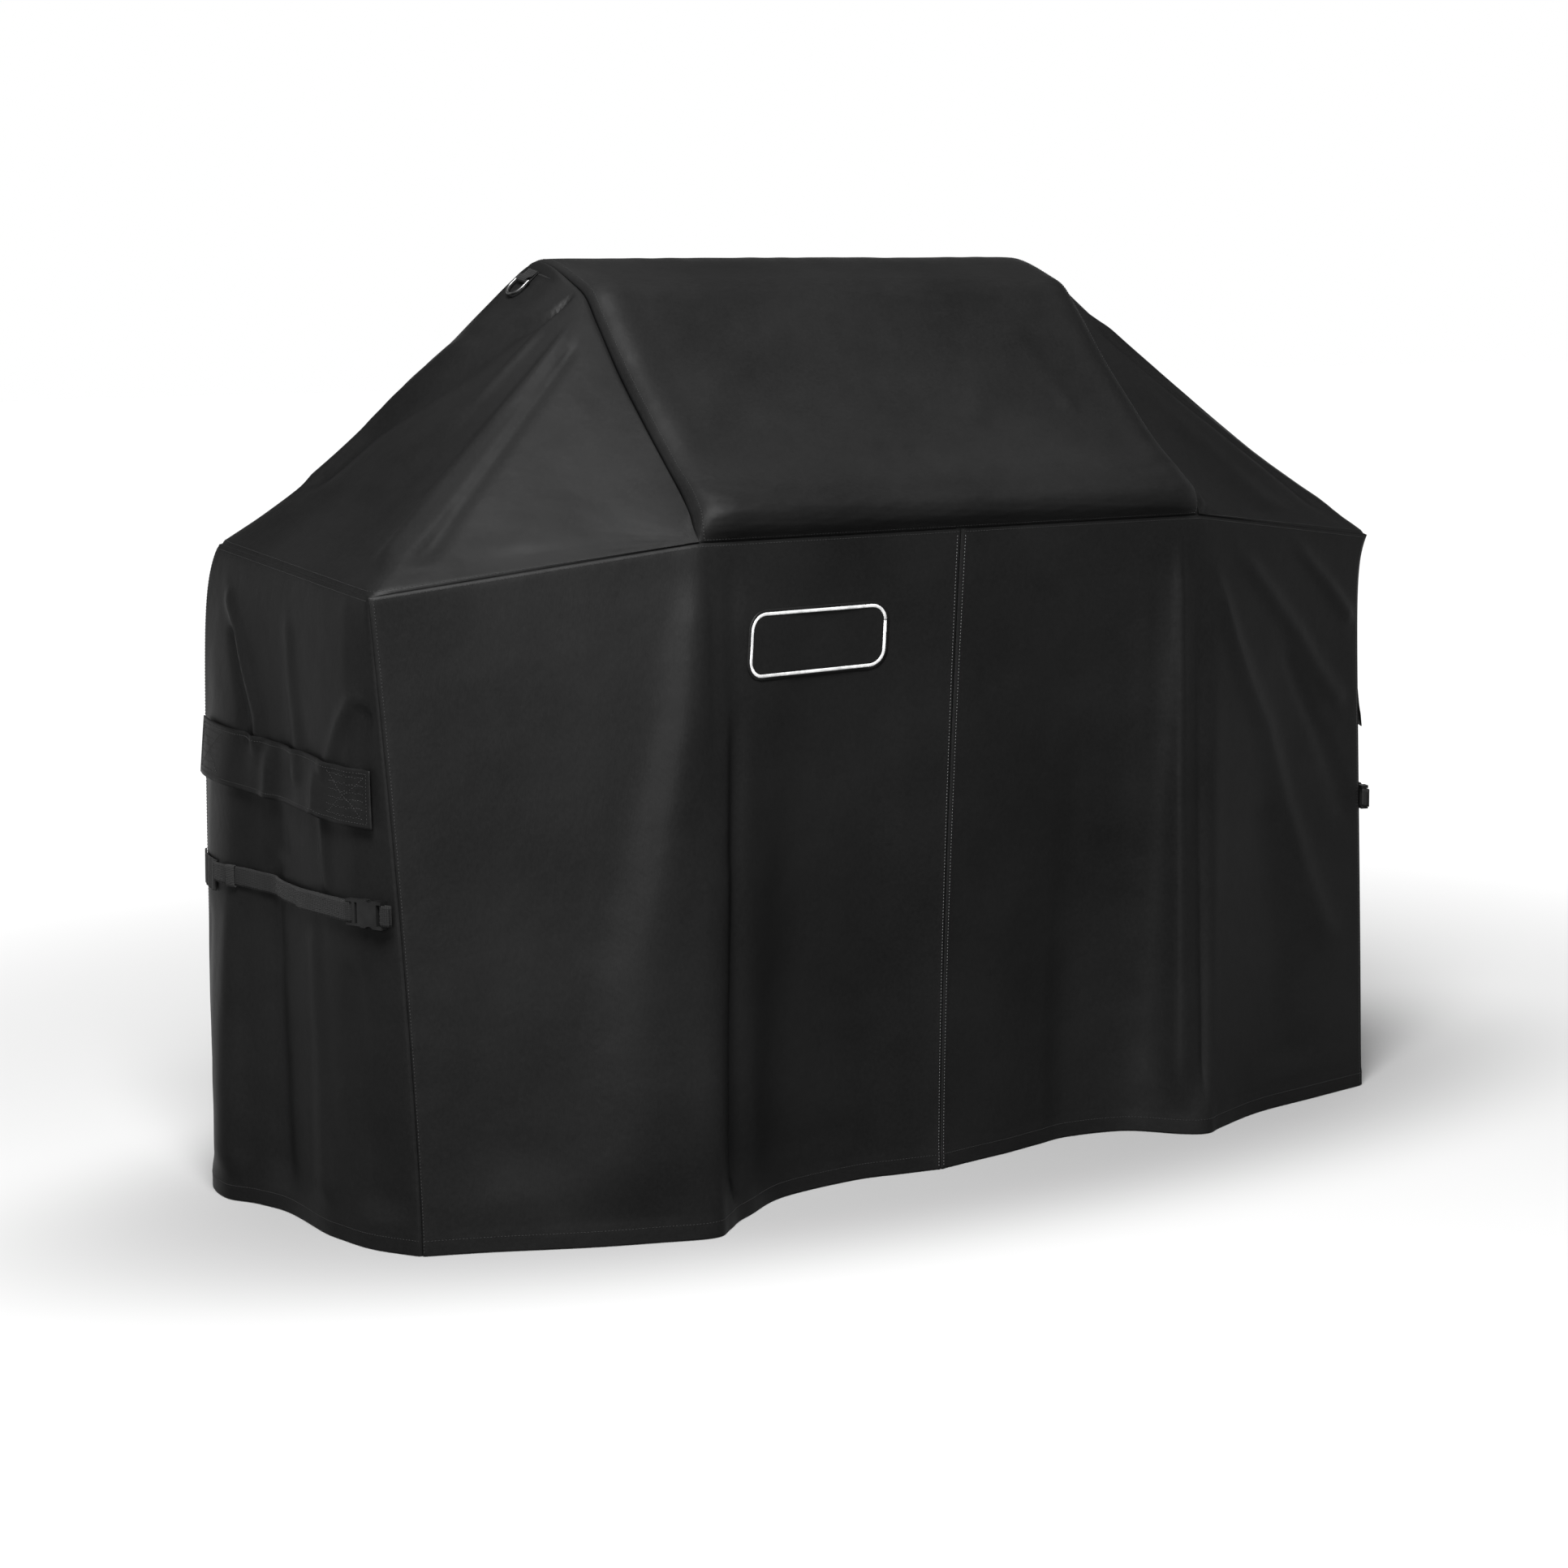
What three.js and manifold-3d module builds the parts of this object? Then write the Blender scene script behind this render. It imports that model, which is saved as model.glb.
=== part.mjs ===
// Fitted cloth cover for a cart grill with side shelves.
// Millimetres, +Z up. The front faces -Y, the left end faces -X, and the hem stands on z = 0.
// Every outline below is drawn for the left half; the right half is its mirror image with its own hem.
// The cloth is drawn 2 mm thick, which stands for coated cloth of 0.7 mm with its folded seams.

import * as THREE from 'three';
import Module from 'manifold-3d';
import { mergeVertices } from 'three/addons/utils/BufferGeometryUtils.js';

const wasm = await Module();
wasm.setup();

// ---------------------------------------------------------------- driving dimensions

const CLOTH = 2.0;            // thickness of every cloth panel
const SEAM_SETBACK = 0.2;     // each panel stops this far short of its seam line
const TAPE = 0.8;             // thickness of binding tape, mesh and patches
const TAPE_REACH = 14;        // how far a binding reaches to each side of its seam
const SKIN_GAP = 0.8;         // space between the cloth and what is sewn onto it
const CORE_HALF_WIDTH = 400;  // the cloth's thickness is laid towards a core of this half width
const CORE_HEIGHT = 500;      // ... that ends at this height

// The eave: the seam that joins the roof to the skirts.
const EAVE = {
  frontCentre: [0, -373, 851],
  frontGable: [-384, -373, 851],
  frontCorner: [-775, -269, 800],
  backCorner: [-778, 190, 838],
  backGable: [-390, 228, 836],
  backCentre: [0, 228, 836],
};

// The lid panel's section, from the front eave over the handle ridge and the top to the back eave: [y, z].
const LID_SECTION = [
  [-373, 851], [-385, 868], [-387, 884], [-370, 904], [-302, 950], [-246, 1001],
  [-184, 1061], [-124, 1127], [-92, 1160], [-70, 1169], [83, 1190], [102, 1181],
  [121, 1152], [163, 1063], [198, 956], [220, 873], [228, 836],
];
// The gable seam that ends the lid panel, point for point beside the section above: [x, y, z].
const GABLE_SEAM = [
  EAVE.frontGable, [-386, -364, 866], [-385, -354, 882], [-381, -332, 900], [-378, -287, 938],
  [-378, -231, 990], [-378, -169, 1050], [-378, -110, 1117],
  [-377, -78, 1150], [-377, -50, 1164], [-377, 83, 1187], [-377, 99, 1175], [-378, 115, 1144],
  [-380, 156, 1056], [-384, 190, 950], [-388, 213, 870], EAVE.backGable,
];
const FRONT_RIDGE_START = 7;  // the gable point where the front hip ridge leaves for the front corner
const BACK_RIDGE_START = 10;  // ... and where the back hip ridge leaves for the back corner
const LID_FLAT_HALF = 330;    // the lid panel is straight across to here, then rolls over to the gable seam

// How the skirts hang.
const DRAPE = 1.5;            // the folds open this much faster near the eave than near the hem
const BULGE_RISE = 0.05;      // share of the height in which a skirt swells out below the eave
const HIP_SAG = 30;           // how far the side roof sags between the lid and the shelf's edge
const HIP_SAG_SKEW = 1.4;     // above 1, the sag is deepest below the middle
const SKIRT_HEIGHT = 830;     // round figures for turning millimetres into shares of a panel
const FRONT_LENGTH = 800;
const END_LENGTH = 470;

// Hem outlines in plan, [x, y], evenly spaced along each skirt, and how far each skirt swells at its waist.
const FRONT_HEM_LEFT = [
  [0, -317], [-57, -307], [-127, -298], [-245, -314], [-323, -363], [-371, -399], [-407, -421],
  [-483, -394], [-577, -359], [-667, -319], [-740, -290],
];
const FRONT_HEM_RIGHT = [
  [0, -317], [-60, -308], [-118, -300], [-180, -287], [-235, -278], [-317, -296], [-367, -346], [-402, -374],
  [-440, -358], [-535, -323], [-645, -305], [-762, -286],
];
const FRONT_CREST_LEFT = 0.6;    // where along the front skirt the fold below the gable stands out most
const FRONT_CREST_RIGHT = 7 / 11;
const END_HEM_LEFT = [
  [-740, -290], [-776, -233], [-791, -174], [-797, -129], [-799, -33], [-816, 36], [-840, 84], [-835, 150],
  [-808, 196],
];
const END_HEM_RIGHT = [
  [-762, -286], [-786, -236], [-796, -174], [-799, -120], [-803, -33], [-822, 36], [-840, 84], [-834, 150],
  [-808, 196],
];
const BACK_HEM = [
  [-808, 196], [-760, 222], [-680, 224], [-600, 232], [-520, 246], [-450, 268], [-400, 276], [-350, 266],
  [-280, 246], [-190, 238], [-100, 240], [0, 244],
];
const BACK_CREST = 6 / 11;
const END_SWELL_LEFT = [0, 14, 14, 12, 12, 14, 16, 18, 20];
const END_SWELL_RIGHT = [-16, 2, 12, 12, 12, 14, 16, 18, 20];
const BACK_SWELL = [20, 8, 0];

// The vent in each end skirt, as shares of the panel's length and of its height below the eave.
const VENT = { from: 0.36, to: 0.64, top: 0.28, bottom: 0.335, lap: 10 };
const FLAP = { from: 0.05, to: 0.95, height: 72, thickness: 1.6, lean: 4, standOff: 4, drop: 0.262 };
const HOOK_PATCH = { length: 62, height: 20, thickness: TAPE, inset: 7 };

// The strap and its side-release buckle, for webbing 25 mm wide.
const STRAP = { z: 420, width: 25, thickness: 1.4, standOff: 4.2, sewn: 1 };
const BUCKLE = {
  width: 34, thickness: 10, wall: 2, standOff: 1.2, reach: 0.2,
  socket: [11, 46], barEnd: 14.5, slot: 4, cavityFrom: 21, window: [26, 37],
  plug: [46.6, 70], tongueFrom: 24,
};
const KEEPER = { at: 0.71, length: 16, wall: 1.0, clearance: 0.5 };
const ANCHOR = { from: 0.805, to: 0.97, height: 40, thickness: 1.6 };
const TAIL_END = 0.4;         // the strap's free tail lies on the strap as far as this share of the end skirt

// The hanging ring on its tab, below the lid's top edge on each side roof.
const RING = { width: 36, drop: 28, bar: 3.6, height: 5.0, fromSeam: 23, share: 1.3 };
const TAB = { width: 25, length: 19, thickness: 1.2 };

// The blank front label: its middle on the skirt, and its size.
const LABEL = { x: -206, z: 720, width: 205, height: 88, thickness: 1.2, standOff: 1.8 };

// ---------------------------------------------------------------- materials

function finish(color, roughness, metalness = 0) {
  return new THREE.MeshStandardMaterial({ color, roughness, metalness });
}

const CLOTH_BLACK = finish(0x1a1b1c, 0.72);
const TAPE_BLACK = finish(0x131314, 0.8);
const WEBBING_BLACK = finish(0x202122, 0.85);
const MESH_BLACK = finish(0x0e0e0f, 0.9);
const PATCH_BLACK = finish(0x18191a, 0.95);
const BUCKLE_BLACK = finish(0x0f0f10, 0.4);
const RING_METAL = finish(0x5a5c5f, 0.35, 0.9);
const LABEL_GREY = finish(0xc4c6c8, 0.5);

// ---------------------------------------------------------------- small helpers

const MERGE_WITHIN = 1e-3;    // corners closer than this are one corner
const vec = ([x, y, z]) => new THREE.Vector3(x, y, z);
const mix = (a, b, share) => new THREE.Vector3().lerpVectors(a, b, share);

/** Even steps between two values, both ends included. */
function range(from, to, steps) {
  return Array.from({ length: steps + 1 }, (_, i) => from + ((to - from) * i) / steps);
}

/** Unit direction from a point on the cloth towards the cover's core; all thicknesses are laid along it. */
function inward(point) {
  const coreX = THREE.MathUtils.clamp(point.x, -CORE_HALF_WIDTH, CORE_HALF_WIDTH);
  const core = new THREE.Vector3(coreX, 0, Math.min(point.z, CORE_HEIGHT));
  return core.sub(point).normalize();
}

function outwardLevel(point) {
  return inward(point).setZ(0).normalize().negate();
}

/** Straight runs between stops, each [share, [x, y, z]]. */
function runsBetween(stops) {
  return (share) => {
    let i = 0;
    while (i < stops.length - 2 && share > stops[i + 1][0]) i += 1;
    const [from, a] = stops[i];
    const [to, b] = stops[i + 1];
    return mix(vec(a), vec(b), (share - from) / (to - from));
  };
}

/** Even straight runs through a list of numbers. */
function runsThrough(values) {
  return (share) => {
    const place = THREE.MathUtils.clamp(share, 0, 1) * (values.length - 1);
    const i = Math.min(Math.floor(place), values.length - 2);
    return values[i] + (values[i + 1] - values[i]) * (place - i);
  };
}

/** Turns triangles into one closed body: shared corners merged, slivers dropped, faces turned outwards. */
function closedBody(triangles) {
  const positions = [];
  let volume = 0;
  for (const [a, b, c] of triangles) volume += a.dot(new THREE.Vector3().crossVectors(b, c));
  for (const triangle of triangles) {
    const corners = volume < 0 ? [triangle[0], triangle[2], triangle[1]] : triangle;
    for (const corner of corners) positions.push(corner.x, corner.y, corner.z);
  }
  const loose = new THREE.BufferGeometry();
  loose.setAttribute('position', new THREE.Float32BufferAttribute(positions, 3));
  const merged = mergeVertices(loose, MERGE_WITHIN);
  const kept = [];
  for (let i = 0; i < merged.index.count; i += 3) {
    const [a, b, c] = [0, 1, 2].map((k) => merged.index.getX(i + k));
    if (a !== b && b !== c && a !== c) kept.push(a, b, c);
  }
  merged.setIndex(kept);
  merged.computeVertexNormals();
  return merged;
}

/**
 * A closed body between two grids of points, with walls along every free edge. `open` leaves cells out,
 * and a grid whose last column repeats its first is a ring with no end walls.
 */
function bodyBetween(outer, inner, open = () => false) {
  const rows = outer.length - 1;
  const columns = outer[0].length - 1;
  const ring = outer[0][0].distanceTo(outer[0][columns]) < MERGE_WITHIN;
  const inGrid = (i, j) => i >= 0 && i < rows && (ring || (j >= 0 && j < columns));
  const filled = (i, j) => inGrid(i, j) && !open(i, j);
  const triangles = [];
  const wall = (i0, j0, i1, j1) => {
    triangles.push([outer[i1][j1], outer[i0][j0], inner[i0][j0]]);
    triangles.push([outer[i1][j1], inner[i0][j0], inner[i1][j1]]);
  };
  for (let i = 0; i < rows; i += 1) {
    for (let j = 0; j < columns; j += 1) {
      if (!filled(i, j)) continue;
      triangles.push([outer[i][j], outer[i + 1][j], outer[i + 1][j + 1]]);
      triangles.push([outer[i][j], outer[i + 1][j + 1], outer[i][j + 1]]);
      triangles.push([inner[i][j], inner[i + 1][j + 1], inner[i + 1][j]]);
      triangles.push([inner[i][j], inner[i][j + 1], inner[i + 1][j + 1]]);
      if (!filled(i, j - 1)) wall(i, j, i + 1, j);
      if (!filled(i + 1, j)) wall(i + 1, j, i + 1, j + 1);
      if (!filled(i, j + 1)) wall(i + 1, j + 1, i, j + 1);
      if (!filled(i - 1, j)) wall(i, j + 1, i, j);
    }
  }
  return closedBody(triangles);
}

/** A layer of the given thickness under a grid of points, from `depth` inside it (negative is outside). */
function layer(grid, depth, thickness, open) {
  const shifted = (by) => grid.map((row) => row.map((p) => p.clone().addScaledVector(inward(p), by)));
  return bodyBetween(shifted(depth), shifted(depth + thickness), open);
}

function solidOf(geometry) {
  const bare = geometry.clone();
  bare.deleteAttribute('normal');
  bare.deleteAttribute('uv');
  const merged = mergeVertices(bare, MERGE_WITHIN);
  const vertProperties = new Float32Array(merged.attributes.position.array);
  const triVerts = merged.index ? new Uint32Array(merged.index.array) : null;
  return new wasm.Manifold(new wasm.Mesh({ numProp: 3, vertProperties, triVerts }));
}

function geometryOf(solid) {
  const mesh = solid.getMesh();
  const geometry = new THREE.BufferGeometry();
  geometry.setAttribute('position', new THREE.BufferAttribute(new Float32Array(mesh.vertProperties), 3));
  geometry.setIndex(new THREE.BufferAttribute(new Uint32Array(mesh.triVerts), 1));
  geometry.computeVertexNormals();
  return geometry;
}

/** A block between two corners. */
function block([x0, y0, z0], [x1, y1, z1]) {
  const box = new THREE.BoxGeometry(x1 - x0, y1 - y0, z1 - z0);
  return box.translate((x0 + x1) / 2, (y0 + y1) / 2, (z0 + z1) / 2);
}

function cut(base, ...tools) {
  return geometryOf(tools.reduce((solid, tool) => solid.subtract(solidOf(tool)), solidOf(base)));
}

function join(base, ...others) {
  return geometryOf(others.reduce((solid, other) => solid.add(solidOf(other)), solidOf(base)));
}

/** An outline in plan, [x, y] points, raised between two heights. */
function raised(points, zFrom, zTo) {
  const outline = new THREE.Shape(points.map(([x, y]) => new THREE.Vector2(x, y)));
  const body = new THREE.ExtrudeGeometry(outline, { depth: zTo - zFrom, bevelEnabled: false });
  return body.translate(0, 0, zFrom);
}

/** The same geometry as one closed body, reflected to the right half if asked. */
function bodyOf(geometry, reflect) {
  const loose = geometry.index ? geometry.toNonIndexed() : geometry.clone();
  if (reflect) loose.scale(-1, 1, 1);
  const { position } = loose.attributes;
  const triangles = [];
  for (let i = 0; i < position.count; i += 3) {
    triangles.push([0, 1, 2].map((k) => new THREE.Vector3().fromBufferAttribute(position, i + k)));
  }
  return closedBody(triangles);
}

/** Plan outline of a flat band that follows a line of points, `thickness` to its left-hand side. */
function bandOutline(line, thickness) {
  const side = line.map((point, i) => {
    const before = line[Math.max(i - 1, 0)];
    const after = line[Math.min(i + 1, line.length - 1)];
    const along = new THREE.Vector2(after[0] - before[0], after[1] - before[1]).normalize();
    return [point[0] - along.y * thickness, point[1] + along.x * thickness];
  });
  return [...line, ...side.reverse()];
}

// ---------------------------------------------------------------- the cloth surface

/** A skirt's surface: share 0..1 along the panel, drop 0..1 from the eave seam to the hem. */
function skirtSurface(eave, hemPoints, swellValues) {
  const hem = new THREE.SplineCurve(hemPoints.map(([x, y]) => new THREE.Vector2(x, y)));
  const swell = runsThrough(swellValues);
  return (share, drop) => {
    const top = eave(share);
    const foot = hem.getPoint(share);
    const opened = 1 - (1 - drop) ** DRAPE;
    const x = THREE.MathUtils.lerp(top.x, foot.x, opened);
    const y = THREE.MathUtils.lerp(top.y, foot.y, opened);
    const point = new THREE.Vector3(x, y, top.z * (1 - drop));
    const bulge = (1 - Math.exp(-drop / BULGE_RISE)) * (1 - drop);
    return point.addScaledVector(outwardLevel(point), swell(share) * bulge);
  };
}

/** A panel as it is drawn: its grid of points on lines of share and drop, and the facets between them. */
function panelOf(grid, shares, drops) {
  const cellOf = (lines, value) => {
    let i = 0;
    while (i < lines.length - 2 && value > lines[i + 1]) i += 1;
    return [i, (value - lines[i]) / (lines[i + 1] - lines[i])];
  };
  const facet = (share, drop) => {
    const [j, across] = cellOf(shares, share);
    const [i, down] = cellOf(drops, drop);
    const upper = mix(grid[i][j], grid[i][j + 1], across);
    const lower = mix(grid[i + 1][j], grid[i + 1][j + 1], across);
    return mix(upper, lower, down);
  };
  return { grid, shares, drops, facet };
}

/** Rows of points on a panel as it is drawn, one row for each drop. */
function pointsOn(panel, shares, drops) {
  return drops.map((drop) => shares.map((share) => panel.facet(share, drop)));
}

/** Lines from 0 to 1 with the seam setback taken off both ends, or off the first end only. */
function trimmed(lines, length, bothEnds = true) {
  const setback = SEAM_SETBACK / length;
  return [setback, ...lines.slice(1, -1), bothEnds ? 1 - setback : 1];
}

function skirtsOf(side) {
  const { frontCentre, frontGable, frontCorner, backCorner, backGable, backCentre } = EAVE;
  const frontEave = runsBetween([[0, frontCentre], [side.frontCrest, frontGable], [1, frontCorner]]);
  const endEave = runsBetween([[0, frontCorner], [1, backCorner]]);
  const backEave = runsBetween([[0, backCorner], [BACK_CREST, backGable], [1, backCentre]]);
  const frontSwell = [0, 0, 0, 0, 0, side.endSwell[0]];
  const frontShares = [...range(0, side.frontCrest, 8), ...range(side.frontCrest, 1, 6).slice(1)];
  const backShares = [...range(0, BACK_CREST, 7), ...range(BACK_CREST, 1, 6).slice(1)];
  const endShares = [0, 0.1, 0.22, VENT.from, 0.5, VENT.to, 0.78, 0.89, 1];
  const drops = trimmed([0, 0.04, 0.1, 0.2, VENT.top, VENT.bottom, 0.42, 0.55, 0.75, 1], SKIRT_HEIGHT, false);
  const skirt = (eave, hemPoints, swell, lines, length) => {
    const surface = skirtSurface(eave, hemPoints, swell);
    const shares = trimmed(lines, length);
    return panelOf(drops.map((drop) => shares.map((share) => surface(share, drop))), shares, drops);
  };
  return {
    front: skirt(frontEave, side.frontHem, frontSwell, frontShares, FRONT_LENGTH),
    end: skirt(endEave, side.endHem, side.endSwell, endShares, END_LENGTH),
    back: skirt(backEave, BACK_HEM, BACK_SWELL, backShares, FRONT_LENGTH),
  };
}

/** The gable seam, with its long top run divided so that the side roof can sag along it. */
function gableStops() {
  const seam = GABLE_SEAM.map(vec);
  const split = [1, 2].map((third) => mix(seam[BACK_RIDGE_START - 1], seam[BACK_RIDGE_START], third / 3));
  const points = [...seam.slice(0, BACK_RIDGE_START), ...split, ...seam.slice(BACK_RIDGE_START)];
  return { points, backRidge: BACK_RIDGE_START + split.length };
}

/**
 * The side roof: straight rulings from the gable seam down to the eave, sagging between the two hip ridges.
 * Its shares count gable points, and its drops run from the gable seam to the eave.
 */
function sideRoofPanel() {
  const { points, backRidge } = gableStops();
  const last = points.length - 1;
  const lengths = points.map(() => 0);
  for (let i = 1; i <= last; i += 1) lengths[i] = lengths[i - 1] + points[i].distanceTo(points[i - 1]);
  const stretches = [
    { from: 0, to: FRONT_RIDGE_START, eave: [EAVE.frontGable, EAVE.frontCorner], sag: (s) => 0.2 * s },
    { from: FRONT_RIDGE_START, to: backRidge, eave: [EAVE.frontCorner, EAVE.backCorner],
      sag: (s) => 0.2 + 0.6 * Math.sin((Math.PI / 2) * s) },
    { from: backRidge, to: last, eave: [EAVE.backCorner, EAVE.backGable], sag: (s) => 0.8 * (1 - s) },
  ];
  const rulings = points.map((gable, i) => {
    const { from, to, eave, sag } = stretches.find((stretch) => i <= stretch.to);
    const along = (lengths[i] - lengths[from]) / (lengths[to] - lengths[from]);
    return { gable, foot: mix(vec(eave[0]), vec(eave[1]), along), sag: HIP_SAG * sag(along) };
  });
  const drops = [0, 0.12, 0.28, 0.46, 0.66, 0.84, 1];
  const grid = drops.map((drop) => rulings.map(({ gable, foot, sag }) => {
    const setback = Math.min(SEAM_SETBACK / Math.max(gable.distanceTo(foot), 1), 0.5);
    const point = mix(gable, foot, THREE.MathUtils.clamp(drop, setback, 1 - setback));
    point.z -= sag * Math.sin(Math.PI * drop ** HIP_SAG_SKEW);
    return point;
  }));
  return panelOf(grid, points.map((_, i) => i), drops);
}

/** The lid panel: straight across the middle, rolled down to the gable seam at both ends. */
function lidPanel() {
  const rolls = [0, 0.55, 0.85, 1];
  const grid = GABLE_SEAM.map((seam, row) => {
    const [y, z] = LID_SECTION[row];
    const rolledTo = (roll, sign) => {
      const sink = 1 - Math.sqrt(1 - roll ** 2);
      const x = THREE.MathUtils.lerp(LID_FLAT_HALF, Math.abs(seam[0]) - SEAM_SETBACK, roll);
      return vec([sign * x, THREE.MathUtils.lerp(y, seam[1], sink), THREE.MathUtils.lerp(z, seam[2], sink)]);
    };
    const leftEnd = [...rolls].reverse().map((roll) => rolledTo(roll, -1));
    const rightEnd = rolls.map((roll) => rolledTo(roll, 1));
    return [...leftEnd, vec([0, y, z]), ...rightEnd];
  });
  const setBack = (row, next) => row.map((point, i) => {
    return mix(point, next[i], SEAM_SETBACK / point.distanceTo(next[i]));
  });
  const last = grid.length - 1;
  const first = setBack(grid[0], grid[1]);
  const final = setBack(grid[last], grid[last - 1]);
  return layer([first, ...grid.slice(1, last), final], 0, CLOTH);
}

// ---------------------------------------------------------------- vents

function endSkirt(end) {
  const ventRow = end.drops.indexOf(VENT.top);
  const firstColumn = end.shares.indexOf(VENT.from);
  const lastColumn = end.shares.indexOf(VENT.to);
  return layer(end.grid, 0, CLOTH, (i, j) => i === ventRow && j >= firstColumn && j < lastColumn);
}

/** The mesh behind the vent opening, lapping the cloth all round it. */
function ventMesh(end) {
  const inside = end.shares.filter((share) => share >= VENT.from && share <= VENT.to);
  const shares = [VENT.from - VENT.lap / END_LENGTH, ...inside, VENT.to + VENT.lap / END_LENGTH];
  const lap = VENT.lap / SKIRT_HEIGHT;
  const drops = [VENT.top - lap, VENT.top, VENT.bottom, VENT.bottom + lap];
  return layer(pointsOn(end, shares, drops), CLOTH + SKIN_GAP, TAPE);
}

/** Points of a vent flap over the skirt: it stands off the cloth, and leans out towards its lower edge. */
function flapPoints(end, shares, drops) {
  return pointsOn(end, shares, drops).map((row, i) => {
    const below = (drops[i] - FLAP.drop) * SKIRT_HEIGHT;
    const off = FLAP.standOff + (FLAP.lean * below) / FLAP.height;
    return row.map((point) => point.addScaledVector(inward(point), -off));
  });
}

/** The flap over the vent; it lifts about a straight line along the outermost part of its top edge. */
function ventFlap(end) {
  const shares = [FLAP.from, ...end.shares.filter((s) => s > FLAP.from && s < FLAP.to), FLAP.to];
  const drops = [FLAP.drop, VENT.top, VENT.bottom, FLAP.drop + FLAP.height / SKIRT_HEIGHT];
  return layer(flapPoints(end, shares, drops), -FLAP.thickness, FLAP.thickness);
}

/** Where a hook-and-loop patch lies: near the lower edge of the flap, at its front or rear end. */
function patchLines(end, atFront) {
  const { length, height, inset } = HOOK_PATCH;
  const from = atFront ? FLAP.from + inset / END_LENGTH : FLAP.to - (inset + length) / END_LENGTH;
  const to = from + length / END_LENGTH;
  const shares = [from, ...end.shares.filter((share) => share > from && share < to), to];
  const bottom = FLAP.drop + (FLAP.height - inset) / SKIRT_HEIGHT;
  return { shares, drops: [bottom - height / SKIRT_HEIGHT, VENT.bottom, bottom] };
}

function hookPatch(end, { shares, drops }) {
  return layer(flapPoints(end, shares, drops), SKIN_GAP / 2, HOOK_PATCH.thickness);
}

function loopPatch(end, { shares, drops }) {
  return layer(pointsOn(end, shares, drops), -SKIN_GAP / 2 - HOOK_PATCH.thickness, HOOK_PATCH.thickness);
}

// ---------------------------------------------------------------- strap and buckle

/** The drop at which a place along the end skirt has height z. */
function dropAt(share, z) {
  return 1 - z / THREE.MathUtils.lerp(EAVE.frontCorner[2], EAVE.backCorner[2], share);
}

/** Basis of a frame whose x runs level along the cloth, whose y points out of the cover and whose z is up. */
function levelBasis(from, to) {
  const alongX = new THREE.Vector3().subVectors(to, from).setZ(0).normalize();
  const upZ = new THREE.Vector3(0, 0, 1);
  const outY = new THREE.Vector3().crossVectors(upZ, alongX);
  return { alongX, outY, upZ };
}

/** How far the drawn cloth stands out of a vertical plane, over the given lines of the panel. */
function proudOf(panel, origin, outY, shares, drops) {
  const points = pointsOn(panel, shares, drops).flat();
  return Math.max(0, ...points.map((point) => point.sub(origin).dot(outY)));
}

/** The frame the buckle lies in: its origin at the front corner seam, x along the strap, y out, z up. */
function strapFrame(end) {
  const seam = end.facet(end.shares[0], dropAt(0, STRAP.z));
  const { alongX, outY, upZ } = levelBasis(seam, end.facet(BUCKLE.reach, dropAt(BUCKLE.reach, STRAP.z)));
  const proud = proudOf(end, seam, outY, [end.shares[1], BUCKLE.reach], [0.42, 0.55]);
  const origin = seam.clone().setZ(STRAP.z).addScaledVector(outY, proud + BUCKLE.standOff);
  return new THREE.Matrix4().makeBasis(alongX, outY, upZ).setPosition(origin);
}

const WEB_HALF = STRAP.width / 2;
const SLOT_HALF = WEB_HALF + 0.5;
const BAR_FACES = [3, BUCKLE.thickness - 3];   // the webbing bars are thinner than the buckle

/** Two cutters that thin the buckle to its bar between two lengths. */
function barCutters(from, to) {
  const beyond = 1;
  return [
    block([from, -beyond, -SLOT_HALF], [to, BAR_FACES[0], SLOT_HALF]),
    block([from, BAR_FACES[1], -SLOT_HALF], [to, BUCKLE.thickness + beyond, SLOT_HALF]),
  ];
}

function buckleSocket() {
  const half = BUCKLE.width / 2;
  const { thickness, wall, socket, cavityFrom, window, barEnd } = BUCKLE;
  const body = block([socket[0], 0, -half], [socket[1], thickness, half]);
  const cavity = block([cavityFrom, wall, -SLOT_HALF], [socket[1] + 1, thickness - wall, SLOT_HALF]);
  const windows = block([window[0], wall, -half - 1], [window[1], thickness - wall, half + 1]);
  const slot = block([barEnd, -1, -SLOT_HALF], [barEnd + BUCKLE.slot, thickness + 1, SLOT_HALF]);
  const thumbHollows = [-1, 1].map((sign) => {
    const hollow = new THREE.CylinderGeometry(10, 10, thickness + 2, 24);
    return hollow.translate((window[0] + window[1]) / 2, thickness / 2, sign * (half + 7.5));
  });
  return cut(body, cavity, windows, slot, ...barCutters(socket[0] - 1, barEnd), ...thumbHollows);
}

function bucklePlug() {
  const half = BUCKLE.width / 2 - 1;
  const { thickness, plug, slot, tongueFrom } = BUCKLE;
  const body = block([plug[0], 0.6, -half], [plug[1], thickness - 0.6, half]);
  const tongue = block([tongueFrom, BAR_FACES[0], -2], [plug[0] + 1, BAR_FACES[1], 2]);
  const lockSlot = block([plug[0] + 4.5, -1, -SLOT_HALF], [plug[0] + 4.5 + slot, thickness + 1, SLOT_HALF]);
  const strapSlot = block([plug[1] - 6 - slot, -1, -SLOT_HALF], [plug[1] - 6, thickness + 1, SLOT_HALF]);
  return cut(join(body, tongue), lockSlot, strapSlot, ...barCutters(plug[1] - 6, plug[1] + 1));
}

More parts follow.
